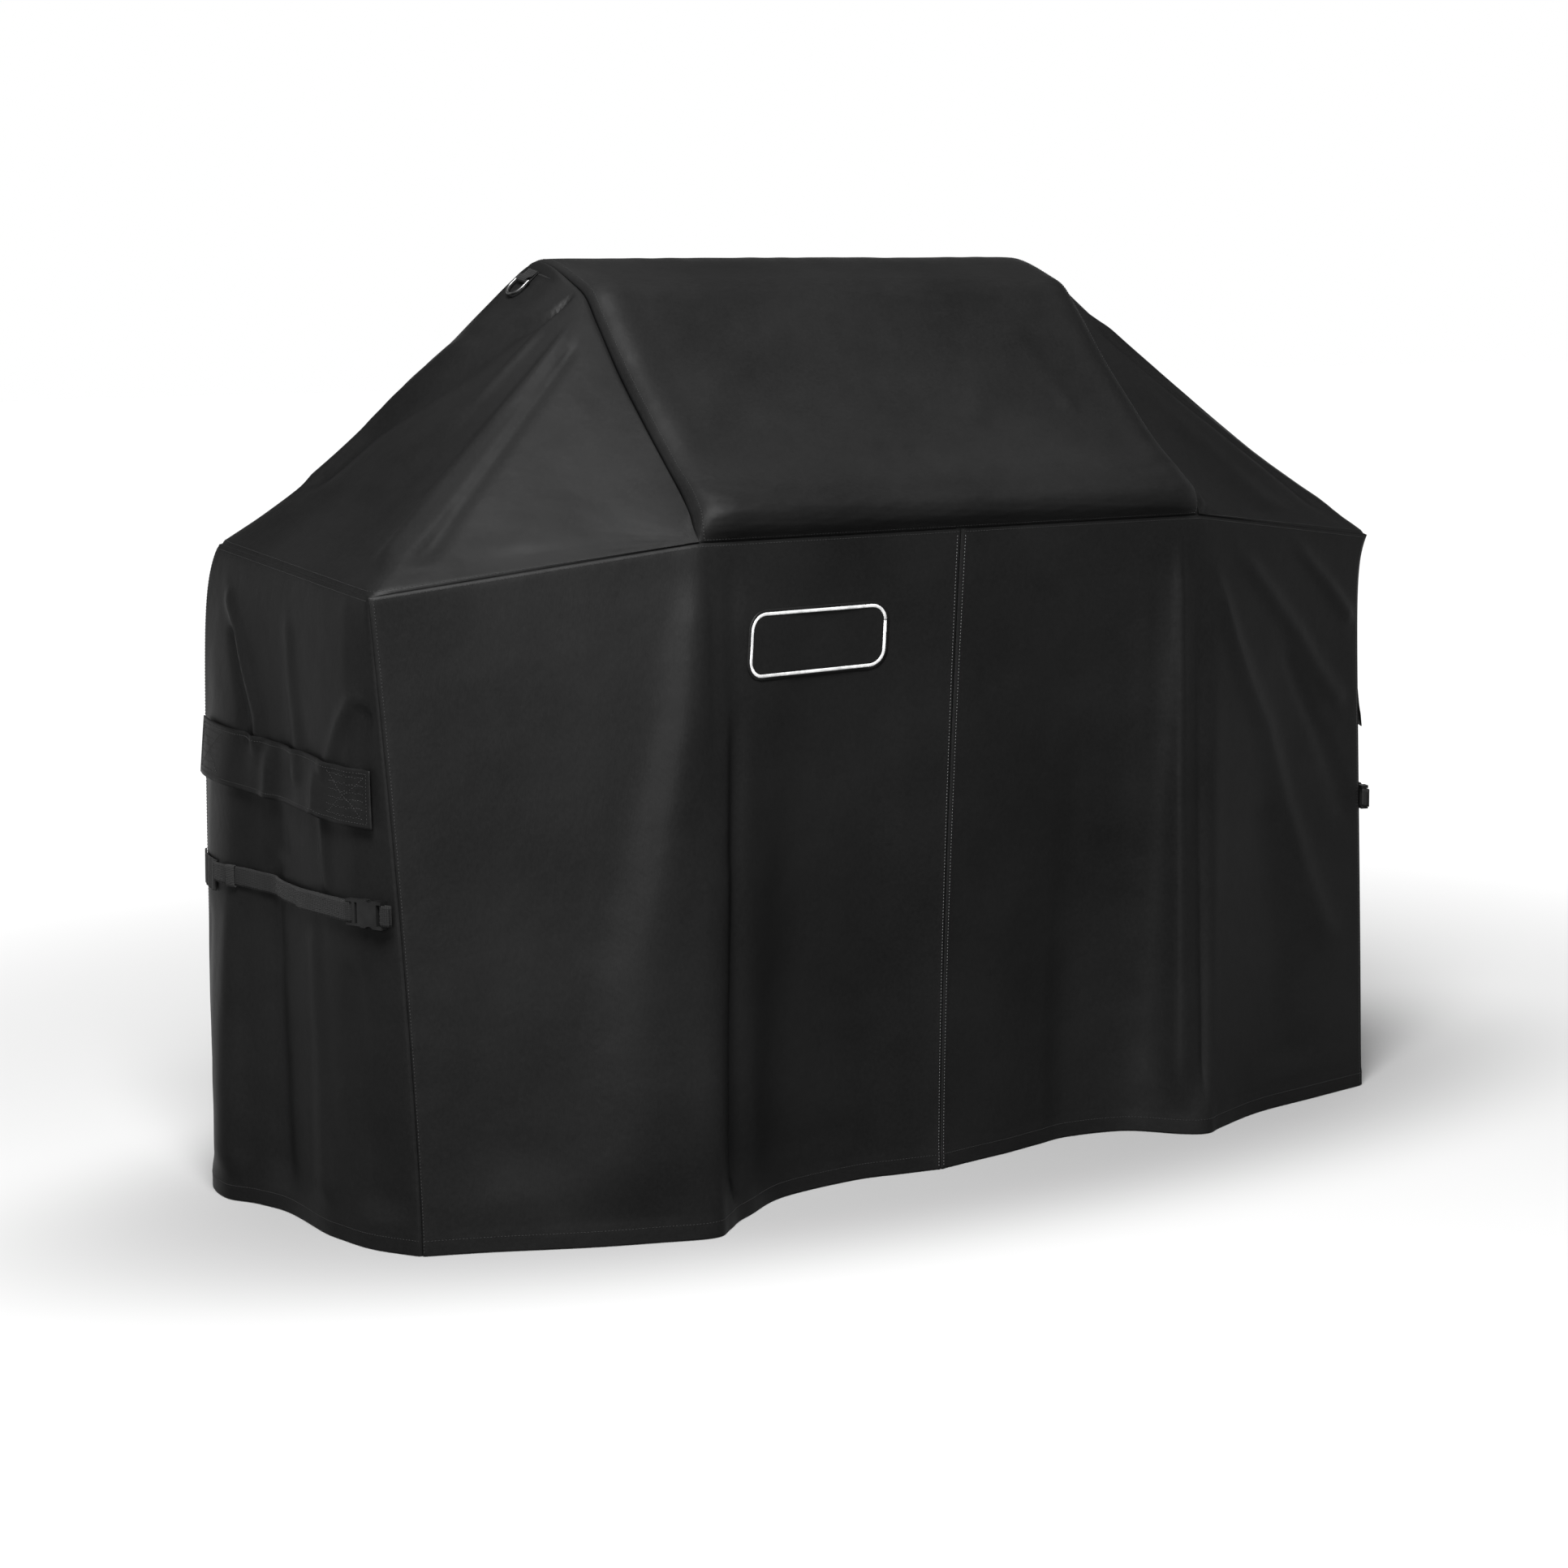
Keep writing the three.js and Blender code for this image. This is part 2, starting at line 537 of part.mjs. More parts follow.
/** One of the plug's two sprung arms (sign +1 above, -1 below), with the barb that stands in the window. */
function buckleProng(sign) {
  const root = BUCKLE.plug[0] - 0.4;
  const tip = BUCKLE.tongueFrom + 1;
  const [barbFrom, barbTo] = [BUCKLE.window[0] + 1, BUCKLE.window[1] - 1];
  const outline = [
    [tip, 7], [root, 7], [root, 11], [barbTo + 0.5, 11.6], [barbTo, 15.4], [barbTo - 3, 15.4],
    [barbFrom - 1, 11.8], [tip, 10],
  ];
  const turned = raised(outline.map(([x, z]) => [x, z * sign]), 2.8, BUCKLE.thickness - 2.8);
  return turned.applyMatrix4(new THREE.Matrix4().makeBasis(vec([1, 0, 0]), vec([0, 0, 1]), vec([0, 1, 0])));
}

/** The turn of a webbing band round a bar: under it, through the slot at `slotSide`, and back over it. */
function turnRoundBar(barEnd, slotSide) {
  const clear = 0.4;
  const x = barEnd + slotSide * clear;
  return [[x, BAR_FACES[0] - clear], [x, BAR_FACES[1] + clear]];
}

/** The short strap: sewn in at the corner seam, through the socket's slot and back on itself. */
function shortStrapOutline() {
  const [under, over] = turnRoundBar(BUCKLE.barEnd, 1);
  const line = [[STRAP.sewn, over[1]], over, under, [STRAP.sewn, under[1]]];
  return bandOutline(line, STRAP.thickness);
}

/**
 * The long strap: from its anchor along the skirt, under the plug's end bar, up through the slot and back
 * on top of itself as the free tail.
 */
function longStrapOutline(end, frame) {
  const lines = end.shares.filter((share) => share > BUCKLE.reach && share < ANCHOR.from);
  const onSkirt = (share, out) => {
    const point = end.facet(share, dropAt(share, STRAP.z));
    point.addScaledVector(outwardLevel(point), out);
    return [point.x, point.y];
  };
  const fromFrame = ([x, y]) => {
    const point = vec([x, y, 0]).applyMatrix4(frame);
    return [point.x, point.y];
  };
  const outerFace = STRAP.standOff + STRAP.thickness;
  const barEnd = BUCKLE.plug[1] - 6;
  const [under, over] = turnRoundBar(barEnd, -1);
  const [underOut, overOut] = [under, over].map(([, y]) => [BUCKLE.plug[1] + 1, y]);
  const run = [ANCHOR.from - 0.01, ...[...lines].reverse()].map((share) => onSkirt(share, outerFace));
  const turn = [underOut, under, over, overOut].map(fromFrame);
  const tailShares = [...lines.filter((share) => share < TAIL_END), TAIL_END];
  const tail = tailShares.map((share) => onSkirt(share, outerFace + SKIN_GAP));
  return bandOutline([...run, ...turn, ...tail], STRAP.thickness);
}

/** The keeper: an elastic loop round the strap, near its anchor. */
function strapKeeper(end) {
  const { at, length, wall, clearance } = KEEPER;
  const from = end.facet(at - 0.02, dropAt(at, STRAP.z));
  const { alongX, outY, upZ } = levelBasis(from, end.facet(at + 0.02, dropAt(at, STRAP.z)));
  const origin = end.facet(at, dropAt(at, STRAP.z)).setZ(STRAP.z);
  const hole = { low: STRAP.standOff - clearance, high: STRAP.standOff + STRAP.thickness + clearance };
  const half = WEB_HALF + clearance;
  const outer = half + wall;
  const outside = block([-length / 2, hole.low - wall, -outer], [length / 2, hole.high + wall, outer]);
  const inside = block([-length, hole.low, -half], [length, hole.high, half]);
  const place = new THREE.Matrix4().makeBasis(alongX, outY, upZ).setPosition(origin);
  return cut(outside, inside).applyMatrix4(place);
}

function strapAnchor(end) {
  const shares = [ANCHOR.from, ...end.shares.filter((s) => s > ANCHOR.from && s < ANCHOR.to), ANCHOR.to];
  const heights = [STRAP.z + ANCHOR.height / 2, STRAP.z - ANCHOR.height / 2];
  const grid = heights.map((z) => shares.map((share) => end.facet(share, dropAt(share, z))));
  return layer(grid, -SKIN_GAP - ANCHOR.thickness, ANCHOR.thickness);
}

// ---------------------------------------------------------------- hanging ring

/** The frame of a ring's pivot: x level along the cloth, y up the slope, z out of the cloth. */
function ringFrame(roof) {
  const share = BACK_RIDGE_START + RING.share;
  const seam = roof.facet(share, 0);
  const below = roof.facet(share, roof.drops[1]);
  const upSlope = new THREE.Vector3().subVectors(seam, below).normalize();
  const across = new THREE.Vector3().subVectors(roof.facet(share + 0.4, roof.drops[1]), below);
  const outZ = new THREE.Vector3().crossVectors(across, upSlope).normalize();
  if (outZ.z < 0) outZ.negate();
  const alongX = new THREE.Vector3().crossVectors(upSlope, outZ);
  const origin = seam.clone().addScaledVector(upSlope, -RING.fromSeam).addScaledVector(outZ, RING.height);
  return new THREE.Matrix4().makeBasis(alongX, upSlope, outZ).setPosition(origin);
}

/** A D-shaped ring hanging down the slope from its bar, which is the pivot. */
function hangingRing() {
  const half = RING.width / 2;
  const { bar, drop } = RING;
  const dShape = (inset) => {
    const side = half - inset;
    const turn = drop - half;
    const outline = new THREE.Shape();
    outline.moveTo(-side, bar / 2 - inset);
    outline.lineTo(-side, -turn);
    outline.absarc(0, -turn, side, Math.PI, 2 * Math.PI, false);
    outline.lineTo(side, bar / 2 - inset);
    outline.closePath();
    return outline;
  };
  const bevel = 0.7;
  const outline = dShape(bevel);
  outline.holes.push(dShape(bar - bevel));
  const body = new THREE.ExtrudeGeometry(outline, {
    depth: bar - 2 * bevel, bevelEnabled: true, bevelThickness: bevel, bevelSize: bevel, bevelSegments: 1,
    curveSegments: 12,
  });
  return body.translate(0, 0, -bar / 2 + bevel);
}

/** The webbing tab: sewn to the side roof, round the ring's bar and back. */
function hangingTab() {
  const { width, length, thickness } = TAB;
  const low = RING.height - thickness - SKIN_GAP;      // the lower ply's upper face, below the pivot
  const line = [
    [length, -low], [0, -low], [-2.6, -1.8], [-3.4, 0], [-2.6, 1.8], [0, 2.9], [4, 2.6], [10, -low + 1],
    [length, -low + 1],
  ];
  const body = raised(bandOutline(line, thickness), -width / 2, width / 2);
  return body.applyMatrix4(new THREE.Matrix4().makeBasis(vec([0, 1, 0]), vec([0, 0, 1]), vec([1, 0, 0])));
}

// ---------------------------------------------------------------- bindings and label

const BINDING_DEPTH = CLOTH + 1.75 * SKIN_GAP;
const GABLE_BINDING_DROPS = [0.006, 0.034];

/** The binding inside the eave seam, one closed ring round the whole cover. */
function eaveBinding(left, right) {
  const drops = [2 / SKIRT_HEIGHT, (2 + TAPE_REACH) / SKIRT_HEIGHT];
  const halfRing = (skirts, sign) => [skirts.front, skirts.end, skirts.back].flatMap((panel) => (
    panel.shares.slice(0, -1).map((share) => drops.map((drop) => {
      const point = panel.facet(share, drop);
      point.x *= sign;
      return point;
    }))));
  const leftHalf = halfRing(left, 1);
  const rightHalf = halfRing(right, -1);
  const backCentre = drops.map((drop) => left.back.facet(1, drop).setX(0));
  const columns = [...leftHalf, backCentre, ...rightHalf.slice(1).reverse(), leftHalf[0]];
  return layer(drops.map((_, row) => columns.map((column) => column[row])), BINDING_DEPTH, TAPE);
}

/** A binding down a vertical seam between two panels; each side is [panel, seam share, sign of x]. */
function seamTape([panelA, shareA, signA], [panelB, shareB, signB]) {
  const inside = panelA.drops.slice(1, -1);
  const drops = [(TAPE_REACH + 6) / SKIRT_HEIGHT, ...inside, 1 - 4 / SKIRT_HEIGHT];
  const column = (panel, share, sign) => drops.map((drop) => {
    const point = panel.facet(share, drop);
    point.x *= sign;
    return point;
  });
  const off = (panel, share) => {
    const seamEnd = panel.facet(0, 0.5).distanceTo(panel.facet(1, 0.5));
    const reach = TAPE_REACH / seamEnd;
    return share === 0 ? reach : share - reach;
  };
  const columns = [
    column(panelA, off(panelA, shareA), signA),
    column(panelA, shareA, signA),
    column(panelB, off(panelB, shareB), signB),
  ];
  return layer(drops.map((_, row) => columns.map((points) => points[row])), BINDING_DEPTH + SKIN_GAP, TAPE);
}

/** The binding inside a gable seam, on the side roof's cloth: its rows follow the rulings. */
function gableBinding(roof) {
  const shares = roof.shares.slice(4, -3);
  return layer(pointsOn(roof, shares, GABLE_BINDING_DROPS), BINDING_DEPTH + 2 * SKIN_GAP, TAPE);
}

function frontLabel(front, side) {
  const shareAt = (x) => (side.frontCrest * x) / EAVE.frontGable[0];
  const [from, to] = [LABEL.x + LABEL.width / 2, LABEL.x - LABEL.width / 2].map(shareAt);
  const dropOf = (z) => 1 - z / EAVE.frontCentre[2];
  const [top, bottom] = [LABEL.z + LABEL.height / 2, LABEL.z - LABEL.height / 2].map(dropOf);
  const shares = [from, ...front.shares.filter((share) => share > from && share < to), to];
  const drops = [top, ...front.drops.filter((drop) => drop > top && drop < bottom), bottom];
  return layer(pointsOn(front, shares, drops), -LABEL.standOff - LABEL.thickness, LABEL.thickness);
}

// ---------------------------------------------------------------- assembly

const LEFT = {
  name: 'left', reflect: false, frontHem: FRONT_HEM_LEFT, frontCrest: FRONT_CREST_LEFT,
  endHem: END_HEM_LEFT, endSwell: END_SWELL_LEFT,
};
const RIGHT = {
  name: 'right', reflect: true, frontHem: FRONT_HEM_RIGHT, frontCrest: FRONT_CREST_RIGHT,
  endHem: END_HEM_RIGHT, endSwell: END_SWELL_RIGHT,
};

const cover = new THREE.Group();

function add(name, geometry, material, reflect = false) {
  const mesh = new THREE.Mesh(bodyOf(geometry, reflect), material);
  mesh.name = name;
  cover.add(mesh);
}

function addSide(side, skirts) {
  const piece = (name, geometry, material) => add(`${side.name}_${name}`, geometry, material, side.reflect);
  const roof = sideRoofPanel();
  piece('side_roof', layer(roof.grid, 0, CLOTH), CLOTH_BLACK);
  piece('front_skirt', layer(skirts.front.grid, 0, CLOTH), CLOTH_BLACK);
  piece('end_skirt', endSkirt(skirts.end), CLOTH_BLACK);
  piece('back_skirt', layer(skirts.back.grid, 0, CLOTH), CLOTH_BLACK);
  piece('gable_binding', gableBinding(roof), TAPE_BLACK);
  piece('front_corner_tape', seamTape([skirts.front, 1, 1], [skirts.end, 0, 1]), TAPE_BLACK);
  piece('back_corner_tape', seamTape([skirts.end, 1, 1], [skirts.back, 0, 1]), TAPE_BLACK);

  piece('vent_mesh', ventMesh(skirts.end), MESH_BLACK);
  piece('vent_flap', ventFlap(skirts.end), CLOTH_BLACK);
  for (const place of ['front', 'rear']) {
    const lines = patchLines(skirts.end, place === 'front');
    piece(`${place}_hook_patch`, hookPatch(skirts.end, lines), PATCH_BLACK);
    piece(`${place}_loop_patch`, loopPatch(skirts.end, lines), PATCH_BLACK);
  }

  const strap = strapFrame(skirts.end);
  const webbing = [STRAP.z - WEB_HALF, STRAP.z + WEB_HALF];
  piece('buckle_socket', buckleSocket().applyMatrix4(strap), BUCKLE_BLACK);
  piece('buckle_plug', bucklePlug().applyMatrix4(strap), BUCKLE_BLACK);
  piece('buckle_upper_prong', buckleProng(1).applyMatrix4(strap), BUCKLE_BLACK);
  piece('buckle_lower_prong', buckleProng(-1).applyMatrix4(strap), BUCKLE_BLACK);
  piece('short_strap', raised(shortStrapOutline(), -WEB_HALF, WEB_HALF).applyMatrix4(strap), WEBBING_BLACK);
  piece('long_strap', raised(longStrapOutline(skirts.end, strap), ...webbing), WEBBING_BLACK);
  piece('strap_keeper', strapKeeper(skirts.end), WEBBING_BLACK);
  piece('strap_anchor', strapAnchor(skirts.end), WEBBING_BLACK);

  const ring = ringFrame(roof);
  piece('hanging_tab', hangingTab().applyMatrix4(ring), WEBBING_BLACK);
  piece('hanging_ring', hangingRing().applyMatrix4(ring), RING_METAL);
}

const leftSkirts = skirtsOf(LEFT);
const rightSkirts = skirtsOf(RIGHT);
add('lid_panel', lidPanel(), CLOTH_BLACK);
addSide(LEFT, leftSkirts);
addSide(RIGHT, rightSkirts);
add('front_centre_tape', seamTape([leftSkirts.front, 0, 1], [rightSkirts.front, 0, -1]), TAPE_BLACK);
add('back_centre_tape', seamTape([leftSkirts.back, 1, 1], [rightSkirts.back, 1, -1]), TAPE_BLACK);
add('eave_binding', eaveBinding(leftSkirts, rightSkirts), TAPE_BLACK);
add('front_label', frontLabel(leftSkirts.front, LEFT), LABEL_GREY);

// The origin is under the middle of the cover, on the surface that the hem stands on.
const size = new THREE.Box3().setFromObject(cover);
cover.position.set(-(size.min.x + size.max.x) / 2, -(size.min.y + size.max.y) / 2, -size.min.z);

export default cover;
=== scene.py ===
"""A fitted black cloth cover for a cart grill with side shelves, on a pale studio floor.

The outlines below are in millimetres in the grill's own axes: the front faces -Y and the hem stands on z = 0.
TO_FRAME moves them to the CAD frame. Every cloth panel is made as a fine grid of points, creased and wrinkled
along its own surface, and given its thickness, its hem and its stitching as geometry.
"""
import math

import bpy
import numpy as np
from mathutils import Matrix, Vector


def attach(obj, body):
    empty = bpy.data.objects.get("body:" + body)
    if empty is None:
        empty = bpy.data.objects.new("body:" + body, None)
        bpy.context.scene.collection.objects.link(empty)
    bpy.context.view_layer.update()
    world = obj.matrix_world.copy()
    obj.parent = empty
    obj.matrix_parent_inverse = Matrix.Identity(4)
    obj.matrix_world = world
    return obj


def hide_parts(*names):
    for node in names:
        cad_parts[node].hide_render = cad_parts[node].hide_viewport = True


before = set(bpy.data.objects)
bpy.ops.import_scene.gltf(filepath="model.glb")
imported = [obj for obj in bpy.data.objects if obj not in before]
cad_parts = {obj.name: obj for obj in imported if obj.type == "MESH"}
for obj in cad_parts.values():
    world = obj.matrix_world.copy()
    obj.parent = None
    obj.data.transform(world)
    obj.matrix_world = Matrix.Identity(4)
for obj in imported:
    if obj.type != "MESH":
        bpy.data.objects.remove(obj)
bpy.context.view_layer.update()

# ---------------------------------------------------------------- driving dimensions

TO_FRAME = np.array([0.315, 72.5, 0.0])   # from the grill's axes to the CAD frame
GRID = 7.0              # spacing of the cloth's points
CLOTH = 0.9             # thickness of the coated cloth
SEAM_TUCK = 2.8         # depth of the groove that a seam pulls into the cloth
SEAM_REACH = 3.0        # how far the groove reaches to each side
HEM = 22.0              # height of the folded hem
FELL = 10.0             # half the width of the felled centre seam
STITCH = 4.2            # pitch of the stitches

# The left hanging ring: the middle of its straight bar, then along the bar, up the slope and out.
RING_AT = np.array([-397.2, 54.3, 1169.3])
RING_WIDE = np.array([0.0162, 0.9863, 0.1642])
RING_UP = np.array([0.7192, -0.1256, 0.6834])
RING_OUT = np.array([-0.6946, -0.1071, 0.7114])
CORE_HALF_WIDTH = 400.0
CORE_HEIGHT = 500.0

FRONT_CENTRE = (0, -373, 851)
FRONT_GABLE = (-384, -373, 851)
FRONT_CORNER = (-775, -269, 800)
BACK_CORNER = (-778, 190, 838)
BACK_GABLE = (-390, 228, 836)
BACK_CENTRE = (0, 228, 836)

LID_SECTION = [
    (-373, 851), (-385, 868), (-387, 884), (-370, 904), (-302, 950), (-246, 1001),
    (-184, 1061), (-124, 1127), (-92, 1160), (-70, 1169), (83, 1190), (102, 1181),
    (121, 1152), (163, 1063), (198, 956), (220, 873), (228, 836),
]
GABLE_SEAM = [
    FRONT_GABLE, (-386, -364, 866), (-385, -354, 882), (-381, -332, 900), (-378, -287, 938),
    (-378, -231, 990), (-378, -169, 1050), (-378, -110, 1117),
    (-377, -78, 1150), (-377, -50, 1164), (-377, 83, 1187), (-377, 99, 1175), (-378, 115, 1144),
    (-380, 156, 1056), (-384, 190, 950), (-388, 213, 870), BACK_GABLE,
]
FRONT_RIDGE = 7         # the gable points where the two hip ridges leave for the corners
BACK_RIDGE = 10
LID_FLAT_HALF = 330.0

DRAPE = 1.5             # the folds open this much faster near the eave than near the hem
BULGE_RISE = 0.05
HIP_SAG = 30.0
HIP_SAG_SKEW = 1.4

FRONT_HEM = {
    "left": [(0, -317), (-57, -307), (-127, -298), (-245, -314), (-323, -363), (-371, -399), (-407, -421),
             (-483, -394), (-577, -359), (-667, -319), (-740, -290)],
    "right": [(0, -317), (-60, -308), (-118, -300), (-180, -287), (-235, -278), (-317, -296), (-367, -346),
              (-402, -374), (-440, -358), (-535, -323), (-645, -305), (-762, -286)],
}
FRONT_CREST = {"left": 0.6, "right": 7 / 11}
END_HEM = {
    "left": [(-740, -290), (-776, -233), (-791, -174), (-797, -129), (-799, -33), (-816, 36), (-840, 84),
             (-835, 150), (-808, 196)],
    "right": [(-762, -286), (-786, -236), (-796, -174), (-799, -120), (-803, -33), (-822, 36), (-840, 84),
              (-834, 150), (-808, 196)],
}
BACK_HEM = [
    (-808, 196), (-760, 222), (-680, 224), (-600, 232), (-520, 246), (-450, 268), (-400, 276), (-350, 266),
    (-280, 246), (-190, 238), (-100, 240), (0, 244),
]
BACK_CREST = 6 / 11
END_SWELL = {"left": [0, 14, 14, 12, 12, 14, 16, 18, 20], "right": [-16, 2, 12, 12, 12, 14, 16, 18, 20]}
BACK_SWELL = [20, 8, 0]
FRONT_LENGTH = 800.0    # round lengths for turning millimetres into shares of a panel
END_LENGTH = 470.0
SKIRT_HEIGHT = 830.0
ROOF_LENGTH = 1150.0
ROOF_HEIGHT = 520.0
LID_WIDTH = 760.0
LID_LENGTH = 1230.0

# ---------------------------------------------------------------- curves and surfaces


def smooth(edge0, edge1, x):
    t = np.clip((np.asarray(x, float) - edge0) / (edge1 - edge0), 0, 1)
    return t * t * (3 - 2 * t)


def unit(v):
    return v / np.maximum(np.linalg.norm(v, axis=-1, keepdims=True), 1e-9)


def distances(points):
    """How far each point of a line is from its start."""
    steps = np.linalg.norm(np.diff(points, axis=0), axis=1)
    return np.concatenate([[0], np.cumsum(steps)])


def hem_curve(points):
    """A smooth curve through points that are evenly spaced in share."""
    p = np.array(points, float)
    last = len(p) - 1

    def at(share):
        place = np.clip(share, 0, 1) * last
        i = np.minimum(place.astype(int), last - 1)
        t = (place - i)[..., None]
        a, b, c, d = (p[np.clip(i + k, 0, last)] for k in (-1, 0, 1, 2))
        into, out = (c - a) / 2, (d - b) / 2
        return ((2 * b - 2 * c + into + out) * t + (3 * c - 3 * b - 2 * into - out)) * t * t + into * t + b

    return at


def smooth_line(points):
    """A smooth curve through unevenly spaced points, found by point index, and its length up to an index."""
    p = np.array(points, float)
    gap = np.linalg.norm(np.diff(p, axis=0), axis=1)
    slope = np.diff(p, axis=0) / gap[:, None]
    tangent = np.vstack([slope, slope[-1:]])
    for i in range(1, len(p) - 1):
        tangent[i] = (slope[i - 1] * gap[i] + slope[i] * gap[i - 1]) / (gap[i - 1] + gap[i])

    def at(index):
        i = np.minimum(np.floor(index).astype(int), len(gap) - 1)
        t = (index - i)[..., None]
        h = gap[i][..., None]
        return (p[i] * (1 + 2 * t) * (1 - t) ** 2 + p[i + 1] * t * t * (3 - 2 * t)
                + tangent[i] * h * t * (1 - t) ** 2 - tangent[i + 1] * h * t * t * (1 - t))

    def length(index):
        return np.interp(index, np.arange(len(p)), distances(p))

    return at, length


def runs_between(stops):
    """Straight runs between stops, each (share, point)."""
    where = [s for s, _ in stops]
    what = np.array([p for _, p in stops], float)
    return lambda share: np.stack([np.interp(share, where, what[:, k]) for k in range(3)], axis=-1)


def inward(p):
    """Unit direction from points on the cloth towards the cover's core."""
    core = np.stack([np.clip(p[..., 0], -CORE_HALF_WIDTH, CORE_HALF_WIDTH), np.zeros(p.shape[:-1]),
                     np.minimum(p[..., 2], CORE_HEIGHT)], axis=-1)
    return unit(core - p)


def outward_level(p):
    level = -inward(p)
    level[..., 2] = 0
    return unit(level)


def skirt_surface(eave, hem, swell):
    """A skirt's surface: share 0..1 along the panel, drop 0..1 from the eave seam to the hem."""
    hem_at = hem_curve(hem)
    steps = np.linspace(0, 1, len(swell))

    def at(share, drop):
        top, foot = eave(share), hem_at(share)
        opened = (1 - (1 - drop) ** DRAPE)[..., None]
        level = top[..., :2] + (foot - top[..., :2]) * opened
        p = np.concatenate([level, (top[..., 2] * (1 - drop))[..., None]], axis=-1)
        bulge = (1 - np.exp(-drop / BULGE_RISE)) * (1 - drop) * np.interp(share, steps, swell)
        return p + outward_level(p) * bulge[..., None]

    return at


def skirt_surfaces(side):
    crest = FRONT_CREST[side]
    front_eave = runs_between([(0, FRONT_CENTRE), (crest, FRONT_GABLE), (1, FRONT_CORNER)])
    end_eave = runs_between([(0, FRONT_CORNER), (1, BACK_CORNER)])
    back_eave = runs_between([(0, BACK_CORNER), (BACK_CREST, BACK_GABLE), (1, BACK_CENTRE)])
    return {
        "front": skirt_surface(front_eave, FRONT_HEM[side], [0, 0, 0, 0, 0, END_SWELL[side][0]]),
        "end": skirt_surface(end_eave, END_HEM[side], END_SWELL[side]),
        "back": skirt_surface(back_eave, BACK_HEM, BACK_SWELL),
    }


def roof_surface():
    """The side roof: rulings from the gable seam down to the eave. share 0..1 counts gable points."""
    gable_at, length = smooth_line(GABLE_SEAM)
    last = len(GABLE_SEAM) - 1
    a, b, c, d = (np.array(p, float) for p in (FRONT_GABLE, FRONT_CORNER, BACK_CORNER, BACK_GABLE))
    marks = [0, FRONT_RIDGE, BACK_RIDGE, last]

    def at(share, drop):
        index = share * last
        gable = gable_at(index)
        part = np.clip(np.searchsorted(marks, index, side="right") - 1, 0, 2)
        low, high = np.array(marks)[part], np.array(marks)[part + 1]
        along = (length(index) - length(low)) / (length(high) - length(low))
        start, end = np.array([a, b, c])[part], np.array([b, c, d])[part]
        foot = start + (end - start) * along[..., None]
        sag = np.choose(part, [0.2 * along, 0.2 + 0.6 * np.sin(np.pi / 2 * along), 0.8 * (1 - along)])
        p = gable + (foot - gable) * drop[..., None]
        p[..., 2] -= HIP_SAG * sag * np.sin(np.pi * drop ** HIP_SAG_SKEW)
        return p

    return at


def lid_surface():
    """The lid panel: share 0..1 from its left gable seam to its right one, drop 0..1 from the front eave
    over the top to the back eave. It is straight across the middle and rolls down to the seams."""
    section_at, _ = smooth_line([(0, y, z) for y, z in LID_SECTION])
    seam_at, _ = smooth_line(GABLE_SEAM)
    last = len(LID_SECTION) - 1

    def at(share, drop):
        middle, seam = section_at(drop * last), seam_at(drop * last)
        half = np.abs(seam[..., 0])
        x = (2 * share - 1) * half
        roll = np.clip((np.abs(x) - LID_FLAT_HALF) / (half - LID_FLAT_HALF), 0, 1)
        sink = (1 - np.sqrt(1 - roll ** 2))[..., None]
        p = middle + (seam - middle) * sink
        p[..., 0] = x
        return p

    return at


# ---------------------------------------------------------------- panels of cloth


def spaced(length):
    """Lines across a panel of that length, in millimetres, closer together beside its edges."""
    near = [0, 1.5, 3.5, 6.5]
    far = [length - v for v in reversed(near)]
    inside = round((far[0] - near[-1]) / GRID)
    return np.array(near[:-1] + list(np.linspace(near[-1], far[0], inside + 1)) + far[1:])


